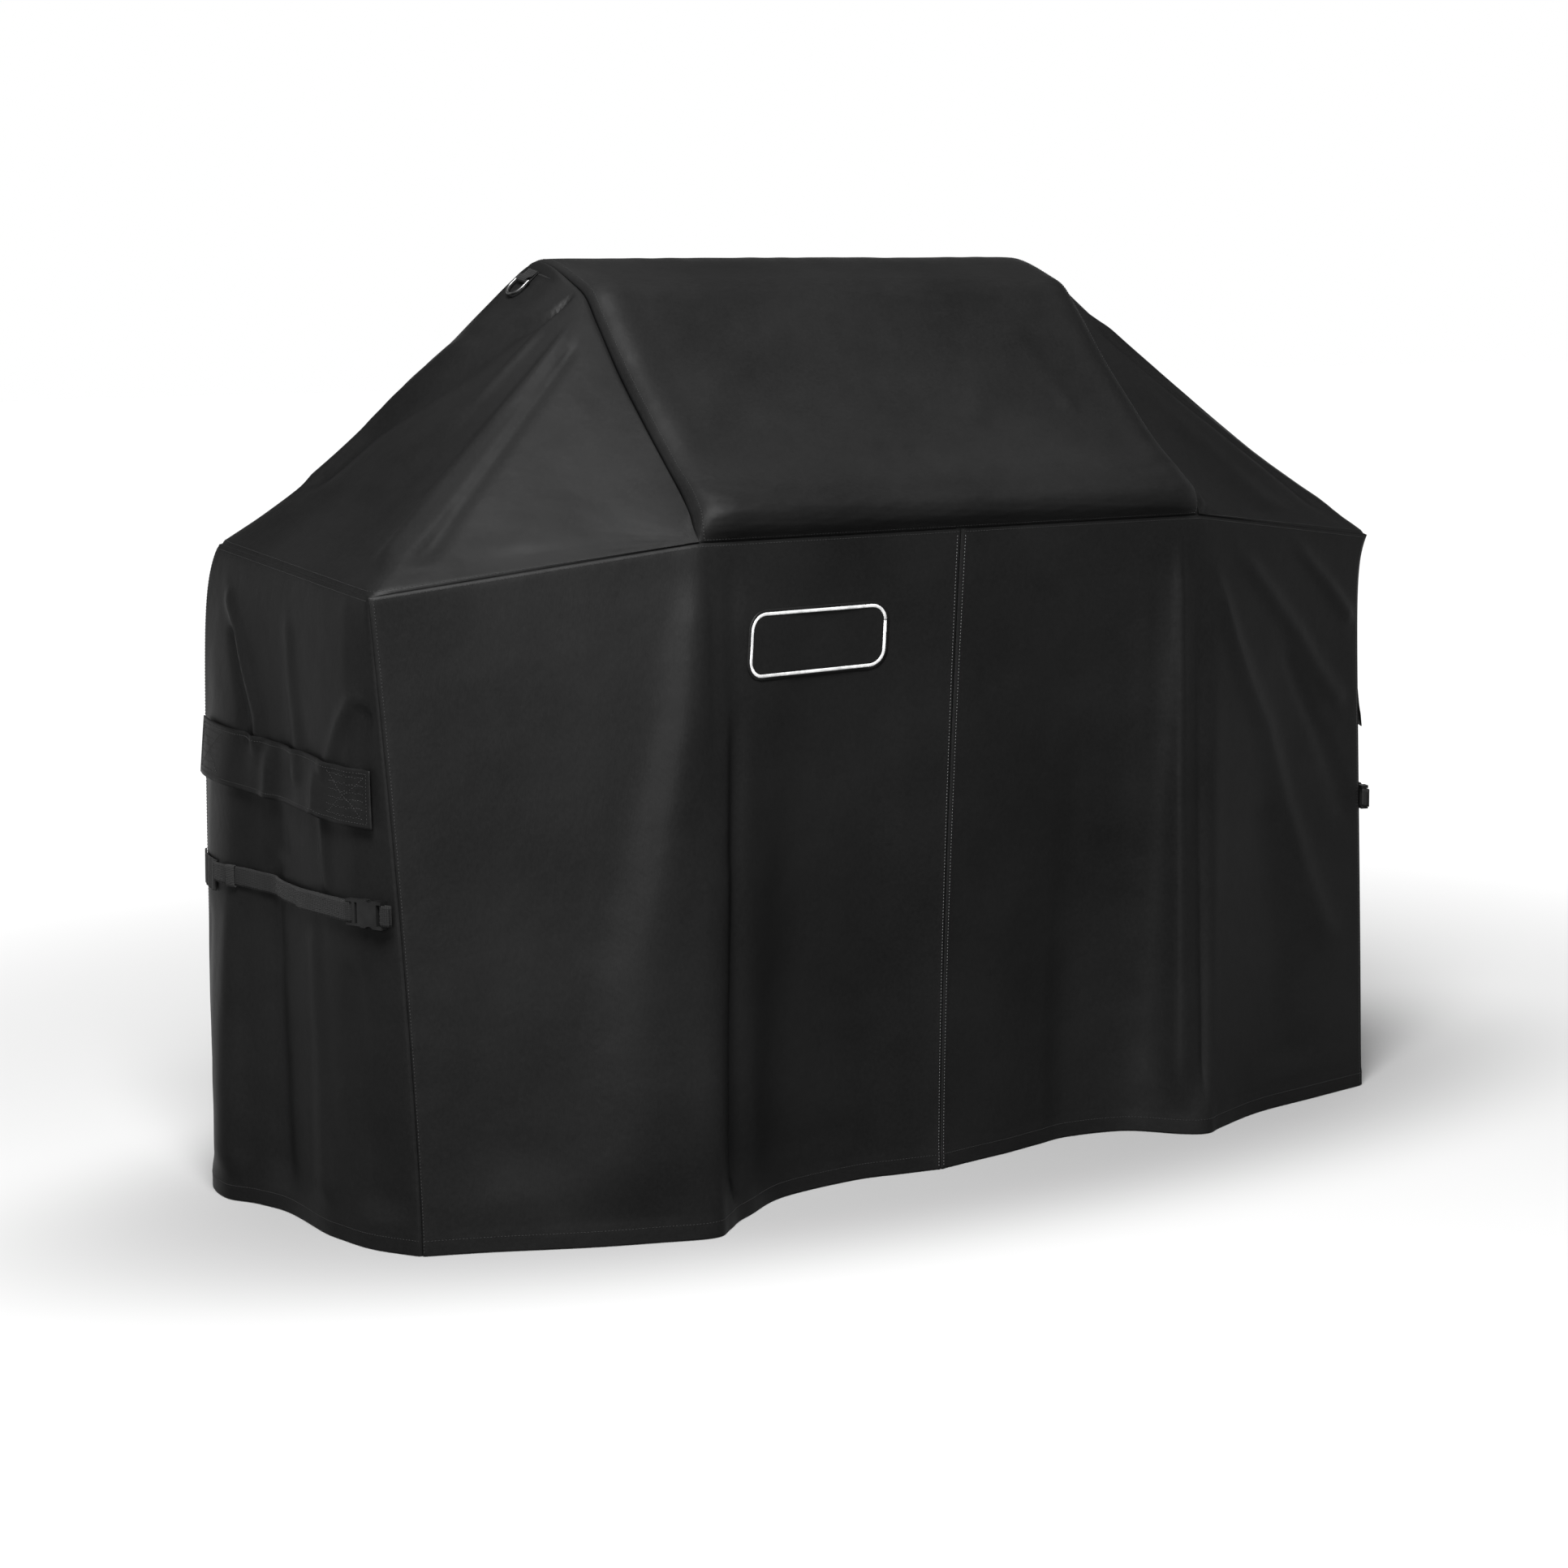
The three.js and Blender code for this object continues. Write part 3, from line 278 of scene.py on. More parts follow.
class Panel:
    """A grid of points on a surface, with each point's distance along (u) and down (v) the cloth."""

    def __init__(self, surface, length, height, mirror=False):
        self.surface, self.length, self.height, self.mirror = surface, length, height, mirror
        self.u, self.v = np.meshgrid(spaced(length), spaced(height))
        self.share, self.drop = self.u / length, self.v / height
        self.points = surface(self.share, self.drop)

    def normals(self):
        across = np.gradient(self.points, axis=1)
        down = np.gradient(self.points, axis=0)
        n = unit(np.cross(across, down))
        outward = (n * inward(self.points)).sum(-1).mean() < 0
        return n if outward else -n

    def push(self, amount):
        """Moves the cloth out by that amount at each point."""
        self.points = self.points + self.normals() * amount[..., None]

    def lift(self, amount):
        """Moves the cloth straight away from the cover's core."""
        self.points = self.points - inward(self.points) * amount[..., None]

    def relax(self, passes):
        """Rounds off creases, leaving the panel's edges where they are."""
        for _ in range(passes):
            p = self.points
            p[1:-1, 1:-1] = (2 * p[1:-1, 1:-1] + p[:-2, 1:-1] + p[2:, 1:-1] + p[1:-1, :-2] + p[1:-1, 2:]) / 6

    def press(self, place, out, gap, near, far):
        """Presses the cloth down round a fitting, so that it lies that far under it."""
        away = np.linalg.norm(self.points - place, axis=-1)
        over = np.maximum((self.points - place) @ out + gap, 0)
        held = smooth(far, near, away) * smooth(0, 14, self.v)
        self.points = self.points - out * (over * held)[..., None]

    def edge_fade(self, reach=25.0):
        """1 inside the panel, falling to 0 at its edges, so that neighbours still meet."""
        sides = np.minimum(self.u, self.length - self.u)
        return smooth(0, reach, np.minimum(sides, self.v))

    def crease(self, line, height, width):
        """A fold along a line of (share, drop) points: a ridge, or a valley if height is negative. height and
        width may be one number, or one for each end."""
        p = np.stack([self.share * self.length, self.drop * self.height], axis=-1)
        knots = np.array(line, float) * (self.length, self.height)
        starts = distances(knots)
        best, place = np.full(self.u.shape, 1e9), np.zeros(self.u.shape)
        for a, b, run, start in zip(knots[:-1], knots[1:], np.diff(starts), starts[:-1]):
            t = np.clip(((p - a) @ (b - a)) / run ** 2, 0, 1)
            away = np.linalg.norm(p - a - t[..., None] * (b - a), axis=-1)
            nearer = away < best
            best, place = np.where(nearer, away, best), np.where(nearer, start + t * run, place)
        share = place / starts[-1]
        tall = np.interp(share, [0, 1], np.broadcast_to(height, 2))
        wide = np.interp(share, [0, 1], np.broadcast_to(width, 2))
        profile = np.exp(-(best / wide) ** 2)
        ends = smooth(0, 0.12, share) * smooth(0, 0.12, 1 - share)
        reached = np.where(best < wide * 4, 1, 0) * np.maximum(ends, 0.15)
        self.push(tall * profile * reached * self.edge_fade())

    def at(self, share, drop, out=0.0):
        """Points on the finished cloth, that far out from it. It reads between the panel's own points."""
        column = np.interp(np.asarray(share) * self.length, self.u[0], np.arange(self.u.shape[1]))
        row = np.interp(np.asarray(drop) * self.height, self.v[:, 0], np.arange(self.u.shape[0]))
        column, row, out = np.broadcast_arrays(column, row, out)
        i = np.minimum(row.astype(int), self.u.shape[0] - 2)
        j = np.minimum(column.astype(int), self.u.shape[1] - 2)
        a, b = (row - i)[..., None], (column - j)[..., None]

        def read(grid):
            upper = grid[i, j] * (1 - b) + grid[i, j + 1] * b
            lower = grid[i + 1, j] * (1 - b) + grid[i + 1, j + 1] * b
            return upper * (1 - a) + lower * a

        return read(self.points) + read(self.normals()) * out[..., None]


def wrinkles(x, y, seed, size, count=7):
    """Soft uneven waves, from -1 to 1, of about that size in millimetres."""
    r = np.random.default_rng(seed)
    total = np.zeros(np.shape(x))
    for _ in range(count):
        angle, phase = r.uniform(0, math.pi), r.uniform(0, 2 * math.pi)
        pitch = size * r.uniform(0.7, 1.6)
        bend = 0.6 * np.sin(y / (size * 1.7) + r.uniform(0, 6))
        bend = bend + 0.6 * np.sin(x / (size * 1.3) + r.uniform(0, 6))
        run = x * math.cos(angle) + y * math.sin(angle)
        total += np.sin(run * 2 * math.pi / pitch + phase + bend)
    return total / count


# ---------------------------------------------------------------- meshes


def to_frame(points, mirror):
    p = np.array(points, float)
    if mirror:
        p = p * (-1, 1, 1)
    return (p + TO_FRAME) / 1000


def new_object(name, vertices, faces, material, body="root", uv=None):
    mesh = bpy.data.meshes.new(name)
    mesh.from_pydata([tuple(v) for v in vertices], [], [tuple(f) for f in faces])
    if uv is not None:
        layer = mesh.uv_layers.new(name="cloth")
        corner = np.zeros(len(mesh.loops), np.int32)
        mesh.loops.foreach_get("vertex_index", corner)
        layer.data.foreach_set("uv", np.asarray(uv, np.float32)[corner].ravel())
    mesh.validate()
    mesh.shade_smooth()
    obj = bpy.data.objects.new(name, mesh)
    obj.data.materials.append(material)
    bpy.context.scene.collection.objects.link(obj)
    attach(obj, body)
    return obj


def declare(obj, replaced):
    """Hides the CAD node that a piece stands for, if one is given."""
    if replaced:
        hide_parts(replaced)
    return obj


def shell(name, outer, inner, uv, material, mirror=False, body="root"):
    """A closed sheet between two grids of points, with a rim all round."""
    rows, columns = outer.shape[:2]
    index = np.arange(rows * columns).reshape(rows, columns)
    a, b, c, d = index[:-1, :-1], index[1:, :-1], index[1:, 1:], index[:-1, 1:]
    front = np.stack([a, b, c, d], axis=-1).reshape(-1, 4)
    back = front[:, ::-1] + rows * columns
    loop = np.concatenate([index[0, :-1], index[:-1, -1], index[-1, :0:-1], index[:0:-1, 0]])
    following = np.roll(loop, -1)
    rim = np.stack([loop, following, following + rows * columns, loop + rows * columns], axis=-1)
    faces = np.concatenate([front, back, rim])
    vertices = to_frame(np.concatenate([outer.reshape(-1, 3), inner.reshape(-1, 3)]), mirror)
    p = vertices[front]
    through = p[:, 0] - vertices[front[:, 0] + rows * columns]
    if (np.cross(p[:, 1] - p[:, 0], p[:, 2] - p[:, 0]) * through).sum() < 0:
        faces = faces[:, ::-1]
    uvs = np.tile(np.asarray(uv, float).reshape(-1, 2), (2, 1)) / 1000
    return new_object(name, vertices, faces, material, body, uvs)


def cloth(name, panel, replaced):
    """A panel as a sheet of cloth with its thickness, in place of its CAD node."""
    outer = panel.points
    inner = outer - panel.normals() * CLOTH
    obj = shell(name, outer, inner, np.stack([panel.u, panel.v], -1), CLOTH_BLACK, panel.mirror)
    declare(obj, replaced)


def patch(name, panel, shares, drops, out, thickness, material, replaced=(), body="root", step=5.0):
    """A piece that follows a panel between two shares and two drops, `out` millimetres above it. out may be
    a function of (across, down), both from 0 to 1."""
    width = (shares[1] - shares[0]) * panel.length
    height = (drops[1] - drops[0]) * panel.height
    across = np.linspace(0, 1, max(3, round(width / step) + 1))
    down = np.linspace(0, 1, max(3, round(height / step) + 1))
    s, t = np.meshgrid(across, down)
    share, drop = shares[0] + (shares[1] - shares[0]) * s, drops[0] + (drops[1] - drops[0]) * t
    off = out(s, t) if callable(out) else np.full(s.shape, float(out))
    outer, inner = panel.at(share, drop, off + thickness), panel.at(share, drop, off)
    obj = shell(name, outer, inner, np.stack([s * width, t * height], -1), material, panel.mirror, body)
    return declare(obj, replaced)


def ribbon(name, path, up, half_width, thickness, material, replaced, mirror):
    """Webbing along a path of points, lying between them and their offset to the path's right-hand side."""
    p = np.array(path, float)
    runs = distances(p)
    along = np.linspace(0, runs[-1], max(3, round(runs[-1] / 1.5)))
    p = np.stack([np.interp(along, runs, p[:, k]) for k in range(3)], axis=-1)
    for _ in range(3):
        p[1:-1] = (p[:-2] + 2 * p[1:-1] + p[2:]) / 4
    side = unit(np.cross(np.gradient(p, axis=0), up))
    v = np.linspace(-half_width, half_width, 9)
    crown = 0.25 * (1 - (v / half_width) ** 2)
    outer = p[None] + side[None] * (thickness / 2 + crown[:, None, None]) + np.asarray(up) * v[:, None, None]
    inner = p[None] - side[None] * (thickness / 2) + np.asarray(up) * v[:, None, None]
    u, vv = np.meshgrid(along, v)
    obj = shell(name, outer, inner, np.stack([u, vv], -1), material, mirror)
    return declare(obj, replaced)


# ---------------------------------------------------------------- stitching

STITCH_SHAPE = np.array([(-1, 0, 0), (0, 1, 0), (0, 0, 1), (0, -1, 0), (0, 0, -0.6), (1, 0, 0)], float)
STITCH_FACES = np.array([(0, 1, 2), (0, 2, 3), (0, 3, 4), (0, 4, 1),
                         (5, 2, 1), (5, 3, 2), (5, 4, 3), (5, 1, 4)])


class Stitching:
    """Rows of thread stitches, gathered into one piece."""

    def __init__(self):
        self.vertices, self.faces, self.count = [], [], 0

    def row(self, panel, share, drop, out=0.15):
        """A row along a line on a panel. share and drop are arrays, or one number and an array."""
        share, drop, out = np.broadcast_arrays(*(np.asarray(a, float) for a in (share, drop, out)))
        runs = distances(panel.at(share, drop))
        middles = np.arange(STITCH / 2, runs[-1], STITCH)
        s, d, out = (np.interp(middles, runs, values) for values in (share, drop, out))
        at, above = panel.at(s, d, out), panel.at(s, d, out + 1)
        along, up = unit(np.gradient(at, axis=0)), unit(above - at)
        side = np.cross(up, along)
        x, y, z = (STITCH_SHAPE * (1.7, 0.55, 0.5)).T[..., None]
        shape = along[:, None] * x + side[:, None] * y + up[:, None] * z
        self.vertices.append(to_frame((at[:, None] + shape).reshape(-1, 3), panel.mirror))
        n = len(middles)
        faces = STITCH_FACES[None] + 6 * np.arange(n)[:, None, None] + self.count
        self.faces.append(faces.reshape(-1, 3) if not panel.mirror else faces.reshape(-1, 3)[:, ::-1])
        self.count += 6 * n

    def finish(self, name, material, body="root"):
        obj = new_object(name, np.concatenate(self.vertices), np.concatenate(self.faces), material, body)
        return obj


# ---------------------------------------------------------------- materials


class Nodes:
    """A short way to write the nodes of a material, or of the world."""

    def __init__(self, owner, shader="Principled BSDF"):
        owner.use_nodes = True
        self.owner, self.tree = owner, owner.node_tree
        self.shader = self.tree.nodes[shader]

    def set(self, name, value):
        """Gives an input of the shader a value or a link."""
        self.put(self.shader.inputs[name], value)

    def add(self, kind, settings=(), **inputs):
        node = self.tree.nodes.new(kind)
        for key, value in dict(settings).items():
            setattr(node, key, value)
        for key, value in inputs.items():
            self.put(node.inputs[key.replace("_", " ")], value)
        return node

    def put(self, socket, value):
        if isinstance(value, bpy.types.NodeSocket):
            self.tree.links.new(value, socket)
        else:
            socket.default_value = value

    def math(self, operation, a, b=0.0):
        node = self.add("ShaderNodeMath", {"operation": operation})
        self.put(node.inputs[0], a)
        self.put(node.inputs[1], b)
        return node.outputs[0]

    def vector(self, operation, *vectors):
        node = self.add("ShaderNodeVectorMath", {"operation": operation})
        for socket, value in zip(node.inputs, vectors):
            self.put(socket, value)
        return node.outputs["Value" if operation == "LENGTH" else "Vector"]

    def noise(self, vector, scale, detail=3.0, roughness=0.5):
        node = self.add("ShaderNodeTexNoise", Vector=vector, Scale=scale, Detail=detail, Roughness=roughness)
        return node.outputs["Fac"]

    def remap(self, value, start, end, low, high, curve="LINEAR"):
        """A number that goes from low to high as value goes from start to end."""
        node = self.add("ShaderNodeMapRange", {"interpolation_type": curve}, Value=value)
        for socket, number in (("From Min", start), ("From Max", end), ("To Min", low), ("To Max", high)):
            node.inputs[socket].default_value = number
        return node.outputs["Result"]

    def between(self, factor, low, high):
        """A number that follows a noise, which mostly lies from 0.3 to 0.7."""
        return self.remap(factor, 0.3, 0.7, low, high)

    def greys(self, factor, dark, light):
        node = self.add("ShaderNodeMix", {"data_type": "RGBA"})
        self.put(node.inputs["Factor"], factor)
        node.inputs[6].default_value = (dark, dark, dark, 1)
        node.inputs[7].default_value = (light, light, light, 1)
        return node.outputs[2]

    def bump(self, height, strength, distance, under=None):
        node = self.add("ShaderNodeBump", Strength=strength, Distance=distance)
        self.put(node.inputs["Height"], height)
        if under is not None:
            self.put(node.inputs["Normal"], under)
        return node.outputs["Normal"]

    def weave(self, uv, pitch):
        """A plain weave: threads that pass over and under each other, from a panel's own coordinates."""
        parts = self.add("ShaderNodeSeparateXYZ", Vector=uv)
        x = self.math("MULTIPLY", parts.outputs["X"], math.pi / pitch)
        y = self.math("MULTIPLY", parts.outputs["Y"], math.pi / pitch)
        over = self.math("MULTIPLY", self.math("SINE", x), self.math("SINE", y))
        return self.math("ABSOLUTE", over)


def cloth_material(name):
    """Coated woven polyester: black, matt with a slight sheen, its tone varying at random in soft clouds."""
    n = Nodes(bpy.data.materials.new(name))
    place = n.add("ShaderNodeTexCoord")
    uv, spot = place.outputs["UV"], place.outputs["Object"]
    cloudy = n.noise(spot, 3.5, 4.0, 0.55)
    grain = n.noise(spot, 240.0, 2.0, 0.6)
    mixed = n.math("ADD", n.math("MULTIPLY", cloudy, 0.7), n.math("MULTIPLY", grain, 0.3))
    n.set("Base Color", n.greys(n.between(mixed, 0, 1), 0.0013, 0.0030))
    n.set("Roughness", n.between(cloudy, 0.38, 0.46))
    n.set("IOR", 1.09)
    threads = n.bump(n.weave(uv, 0.0011), 0.35, 0.0002)
    crumple = n.bump(n.noise(spot, 34.0, 3.0, 0.55), 0.16, 0.004, threads)
    n.set("Normal", n.bump(n.noise(spot, 9.0, 2.0, 0.5), 0.22, 0.010, crumple))
    return n.owner


def tape_material(name, tone, rib_pitch, roughness=0.72):
    """Woven tape or webbing, with ribs across it."""
    n = Nodes(bpy.data.materials.new(name))
    place = n.add("ShaderNodeTexCoord")
    parts = n.add("ShaderNodeSeparateXYZ", Vector=place.outputs["UV"])
    ribs = n.math("ABSOLUTE", n.math("SINE", n.math("MULTIPLY", parts.outputs["X"], math.pi / rib_pitch)))
    rows = n.math("ABSOLUTE", n.math("SINE", n.math("MULTIPLY", parts.outputs["Y"], math.pi / 0.0022)))
    fuzz = n.noise(place.outputs["Object"], 300.0, 2.0)
    shade = n.math("ADD", n.math("MULTIPLY", ribs, 0.6), n.math("MULTIPLY", fuzz, 0.4))
    n.set("Base Color", n.greys(shade, tone * 0.5, tone * 1.4))
    n.set("Roughness", n.between(fuzz, roughness - 0.06, roughness + 0.06))
    n.set("Sheen Weight", 0.01)
    n.set("IOR", 1.10)
    relief = n.math("ADD", ribs, n.math("MULTIPLY", rows, 0.5))
    n.set("Normal", n.bump(relief, 0.7, 0.0006))
    return n.owner


def patch_material(name):
    """Rough hook-and-loop tape."""
    n = Nodes(bpy.data.materials.new(name))
    spot = n.add("ShaderNodeTexCoord").outputs["Object"]
    nap = n.noise(spot, 420.0, 4.0, 0.75)
    n.set("Base Color", n.greys(n.between(nap, 0, 1), 0.002, 0.008))
    n.set("Roughness", n.between(nap, 0.8, 0.95))
    n.set("IOR", 1.15)
    n.set("Normal", n.bump(nap, 1.0, 0.0012))
    return n.owner


def mesh_material(name):
    """Knitted mesh: raised threads, with painted shade in the holes between them."""
    n = Nodes(bpy.data.materials.new(name))
    place = n.add("ShaderNodeTexCoord")
    holes = n.weave(place.outputs["UV"], 0.002)
    fuzz = n.noise(place.outputs["Object"], 300.0, 2.0)
    # painted shade: the holes between the threads are coloured darker than the threads themselves
    n.set("Base Color", n.greys(holes, 0.005, 0.0008))
    n.set("Roughness", n.between(fuzz, 0.75, 0.9))
    n.set("Normal", n.bump(n.math("SUBTRACT", 1.0, holes), 1.0, 0.0008))
    return n.owner


def plastic_material(name):
    """Moulded plastic with a fine spark texture, rubbed smoother in places."""
    n = Nodes(bpy.data.materials.new(name))
    spot = n.add("ShaderNodeTexCoord").outputs["Object"]
    cloudy, spark = n.noise(spot, 40.0, 3.0), n.noise(spot, 1400.0, 2.0)
    n.set("Base Color", n.greys(n.between(cloudy, 0, 1), 0.0012, 0.0030))
    n.set("Roughness", n.between(cloudy, 0.34, 0.48))
    n.set("IOR", 1.16)
    n.set("Normal", n.bump(spark, 0.25, 0.0002))
    return n.owner


def metal_material(name):
    """Dark plated wire, rubbed brighter in places."""
    n = Nodes(bpy.data.materials.new(name))
    spot = n.add("ShaderNodeTexCoord").outputs["Object"]
    rubbed, fine = n.noise(spot, 120.0, 4.0, 0.6), n.noise(spot, 900.0, 2.0)
    n.set("Base Color", n.greys(n.between(rubbed, 0, 1), 0.012, 0.05))
    n.set("Roughness", n.between(rubbed, 0.34, 0.5))
    n.set("Metallic", 0.9)
    n.set("Normal", n.bump(fine, 0.1, 0.0002))
    return n.owner


def silver_material(name):
    """Silver print, slightly uneven where it lies on the weave."""
    n = Nodes(bpy.data.materials.new(name))
    place = n.add("ShaderNodeTexCoord")
    worn = n.noise(place.outputs["Object"], 90.0, 3.0)
    n.set("Base Color", n.greys(n.between(worn, 0, 1), 0.10, 0.19))
    n.set("Roughness", n.between(worn, 0.35, 0.5))
    n.set("Normal", n.bump(n.weave(place.outputs["UV"], 0.0011), 0.3, 0.0002))
    return n.owner


CLOTH_BLACK = cloth_material("coated_cloth")
BINDING = tape_material("binding_tape", 0.005, 0.0016)
THREAD = tape_material("thread", 0.010, 0.0010, 0.6)
PALE_THREAD = tape_material("pale_thread", 0.045, 0.0010, 0.6)
WEBBING = tape_material("webbing", 0.003, 0.0030)
HOOK_LOOP = patch_material("hook_and_loop_tape")
MESH = mesh_material("knitted_mesh")
PLASTIC = plastic_material("buckle_plastic")
METAL = metal_material("ring_plating")
SILVER = silver_material("silver_print")

# ---------------------------------------------------------------- the cloth panels


def surface_wrinkles(panel, seed, amount):
    """Small uneven waves all over the panel, fading at its seams."""
    broad = wrinkles(panel.u, panel.v, seed, 190)
    fine = wrinkles(panel.u, panel.v, seed + 1, 70)
    panel.push((broad * amount + fine * amount * 0.3) * panel.edge_fade(60))


def tuck_seams(panel, sides=True, bottom=False):
    """Pulls the cloth in along its seams: always the top one."""
    groove = np.exp(-((panel.v / SEAM_REACH) ** 2))
    if sides:
        groove += np.exp(-((panel.u / SEAM_REACH) ** 2))
        groove += np.exp(-(((panel.length - panel.u) / SEAM_REACH) ** 2))
    if bottom:
        groove += np.exp(-(((panel.height - panel.v) / SEAM_REACH) ** 2))
    panel.lift(-SEAM_TUCK * np.minimum(groove, 1))


def fell_seam(panel):
    """The felled centre seam: a doubled band of cloth beside the seam line."""
    panel.lift(CLOTH * smooth(FELL + 1, FELL - 1, panel.u))


def fold_hem(panel):
    """The doubled hem stands a little proud of the cloth above it."""
    panel.lift(0.7 * smooth(HEM + 1, HEM - 1, panel.height - panel.v))


def skirt_panel(side, which, length):
    return Panel(skirt_surfaces(side)[which], length, SKIRT_HEIGHT, side == "right")


def front_skirt(side):
    """The front skirt hangs in a wide fold below the gable, and the right one is tight to its far corner."""
    panel = skirt_panel(side, "front", FRONT_LENGTH)
    if side == "left":
        panel.crease([(0.50, 0.20), (0.47, 0.62), (0.44, 0.99)], (-5, -20), (16, 32))
        panel.crease([(0.60, 0.01), (0.62, 0.25), (0.69, 0.60), (0.72, 0.99)], (9, 15), (16, 55))
        panel.crease([(0.53, 0.02), (0.51, 0.25), (0.50, 0.5)], (-3, -2), (14, 24))
        panel.crease([(0.30, 0.10), (0.27, 0.55), (0.29, 0.95)], (2, 5), (40, 60))
        panel.crease([(0.86, 0.08), (0.88, 0.5), (0.86, 0.95)], (2, -5), (40, 60))
    else:
        panel.crease([(0.58, 0.01), (0.565, 0.45), (0.56, 0.99)], (9, 14), (13, 24))
        panel.crease([(0.52, 0.03), (0.51, 0.45), (0.49, 0.95)], (-2, -5), (14, 26))
        panel.crease([(0.64, 0.04), (0.63, 0.5), (0.64, 0.99)], (-6, -14), (14, 30))
        panel.crease([(0.655, 0.06), (0.72, 0.20), (0.80, 0.34), (0.95, 0.76)], (6, 7), (10, 20))
        panel.crease([(0.72, 0.05), (0.86, 0.18), (0.97, 0.32)], (5, 4), (10, 15))
        panel.crease([(0.84, 0.03), (0.92, 0.09), (0.99, 0.16)], (4, 4), (8, 12))
        panel.crease([(0.83, 0.20), (0.92, 0.36), (0.98, 0.52)], (-4, -4), (9, 14))
        panel.crease([(0.80, 0.45), (0.86, 0.70), (0.88, 0.96)], (-4, -8), (20, 40))
    surface_wrinkles(panel, 3 if side == "left" else 5, 0.9)
    tuck_seams(panel)
    fell_seam(panel)
    fold_hem(panel)
    return panel


def end_skirt(side):
    """The end skirt hangs in upright folds above and below its strap."""
    panel = skirt_panel(side, "end", END_LENGTH)
    panel.crease([(0.86, 0.05), (0.74, 0.12), (0.62, 0.23), (0.60, 0.30)], (5, 6), (9, 11))
    panel.crease([(0.80, 0.10), (0.69, 0.22), (0.66, 0.30)], (-5, -4), (9, 12))
    panel.crease([(0.47, 0.06), (0.42, 0.25), (0.40, 0.33)], (3, 5), (10, 12))
    panel.crease([(0.53, 0.24), (0.51, 0.36), (0.50, 0.45)], (3, -6), (12, 14))
    panel.crease([(0.06, 0.14), (0.16, 0.20), (0.26, 0.29)], (6, 5), (9, 13))
    panel.crease([(0.05, 0.16), (0.08, 0.24), (0.10, 0.33)], (-6, -5), (12, 16))
    panel.crease([(0.28, 0.34), (0.27, 0.42), (0.26, 0.47)], (5, 3), (12, 12))
    panel.crease([(0.37, 0.50), (0.36, 0.75), (0.36, 0.97)], (4, 8), (16, 30))
    panel.crease([(0.54, 0.40), (0.545, 0.70), (0.54, 0.99)], (-6, -14), (14, 24))
    panel.crease([(0.16, 0.54), (0.14, 0.75), (0.11, 0.97)], (-5, -12), (22, 34))
    panel.crease([(0.72, 0.50), (0.74, 0.75), (0.76, 0.98)], (4, 8), (22, 36))
    panel.crease([(0.88, 0.52), (0.90, 0.98)], (-3, -6), (18, 24))
    surface_wrinkles(panel, 7 if side == "left" else 9, 1.3)
    tuck_seams(panel)
    fold_hem(panel)
    return panel


def back_skirt(side):
    """The back skirt hangs straighter, in a few long shallow folds."""
    panel = skirt_panel(side, "back", FRONT_LENGTH)
    panel.crease([(0.50, 0.02), (0.52, 0.50), (0.54, 0.98)], (4, 10), (18, 40))
    panel.crease([(0.40, 0.10), (0.38, 0.55), (0.36, 0.98)], (-3, -9), (22, 40))
    panel.crease([(0.74, 0.10), (0.76, 0.98)], (3, 7), (30, 50))
    panel.crease([(0.16, 0.06), (0.22, 0.60), (0.24, 0.97)], (5, 5), (16, 34))
    surface_wrinkles(panel, 11 if side == "left" else 13, 1.6)
    tuck_seams(panel)
    fold_hem(panel)
    return panel


def side_roof(side):
    """The side roof is stretched from the lid to the shelf: hip ridges with a slack valley beside each."""
    panel = Panel(roof_surface(), ROOF_LENGTH, ROOF_HEIGHT, side == "right")
    panel.relax(4)
    panel.crease([(0.469, 0.03), (0.469, 0.35), (0.469, 0.64), (0.455, 0.95)], (6, 8), (13, 20))
    panel.crease([(0.439, 0.05), (0.433, 0.37), (0.427, 0.66), (0.415, 0.92)], (-5, -7), (9, 14))
    panel.crease([(0.390, 0.12), (0.350, 0.55), (0.320, 0.90)], (2, 3), (24, 40))
    slack = [(0.520, 0.0), (0.573, 0.175), (0.592, 0.365), (0.616, 0.54), (0.622, 0.78)]
    panel.crease(slack, (-9, -10), (7, 9))
    panel.crease([(0.600, 0.22), (0.625, 0.37), (0.650, 0.54), (0.660, 0.76)], (6, 8), (16, 20))
    panel.crease([(0.530, 0.12), (0.552, 0.37), (0.574, 0.54), (0.580, 0.76)], (4, 5), (14, 18))
    panel.crease([(0.780, 0.05), (0.800, 0.50), (0.820, 0.90)], (-4, -6), (16, 26))
    surface_wrinkles(panel, 15 if side == "left" else 17, 1.0)
    panel.press(RING_AT, RING_OUT, gap=5.2, near=42, far=95)
    tuck_seams(panel, sides=False, bottom=True)
    return panel


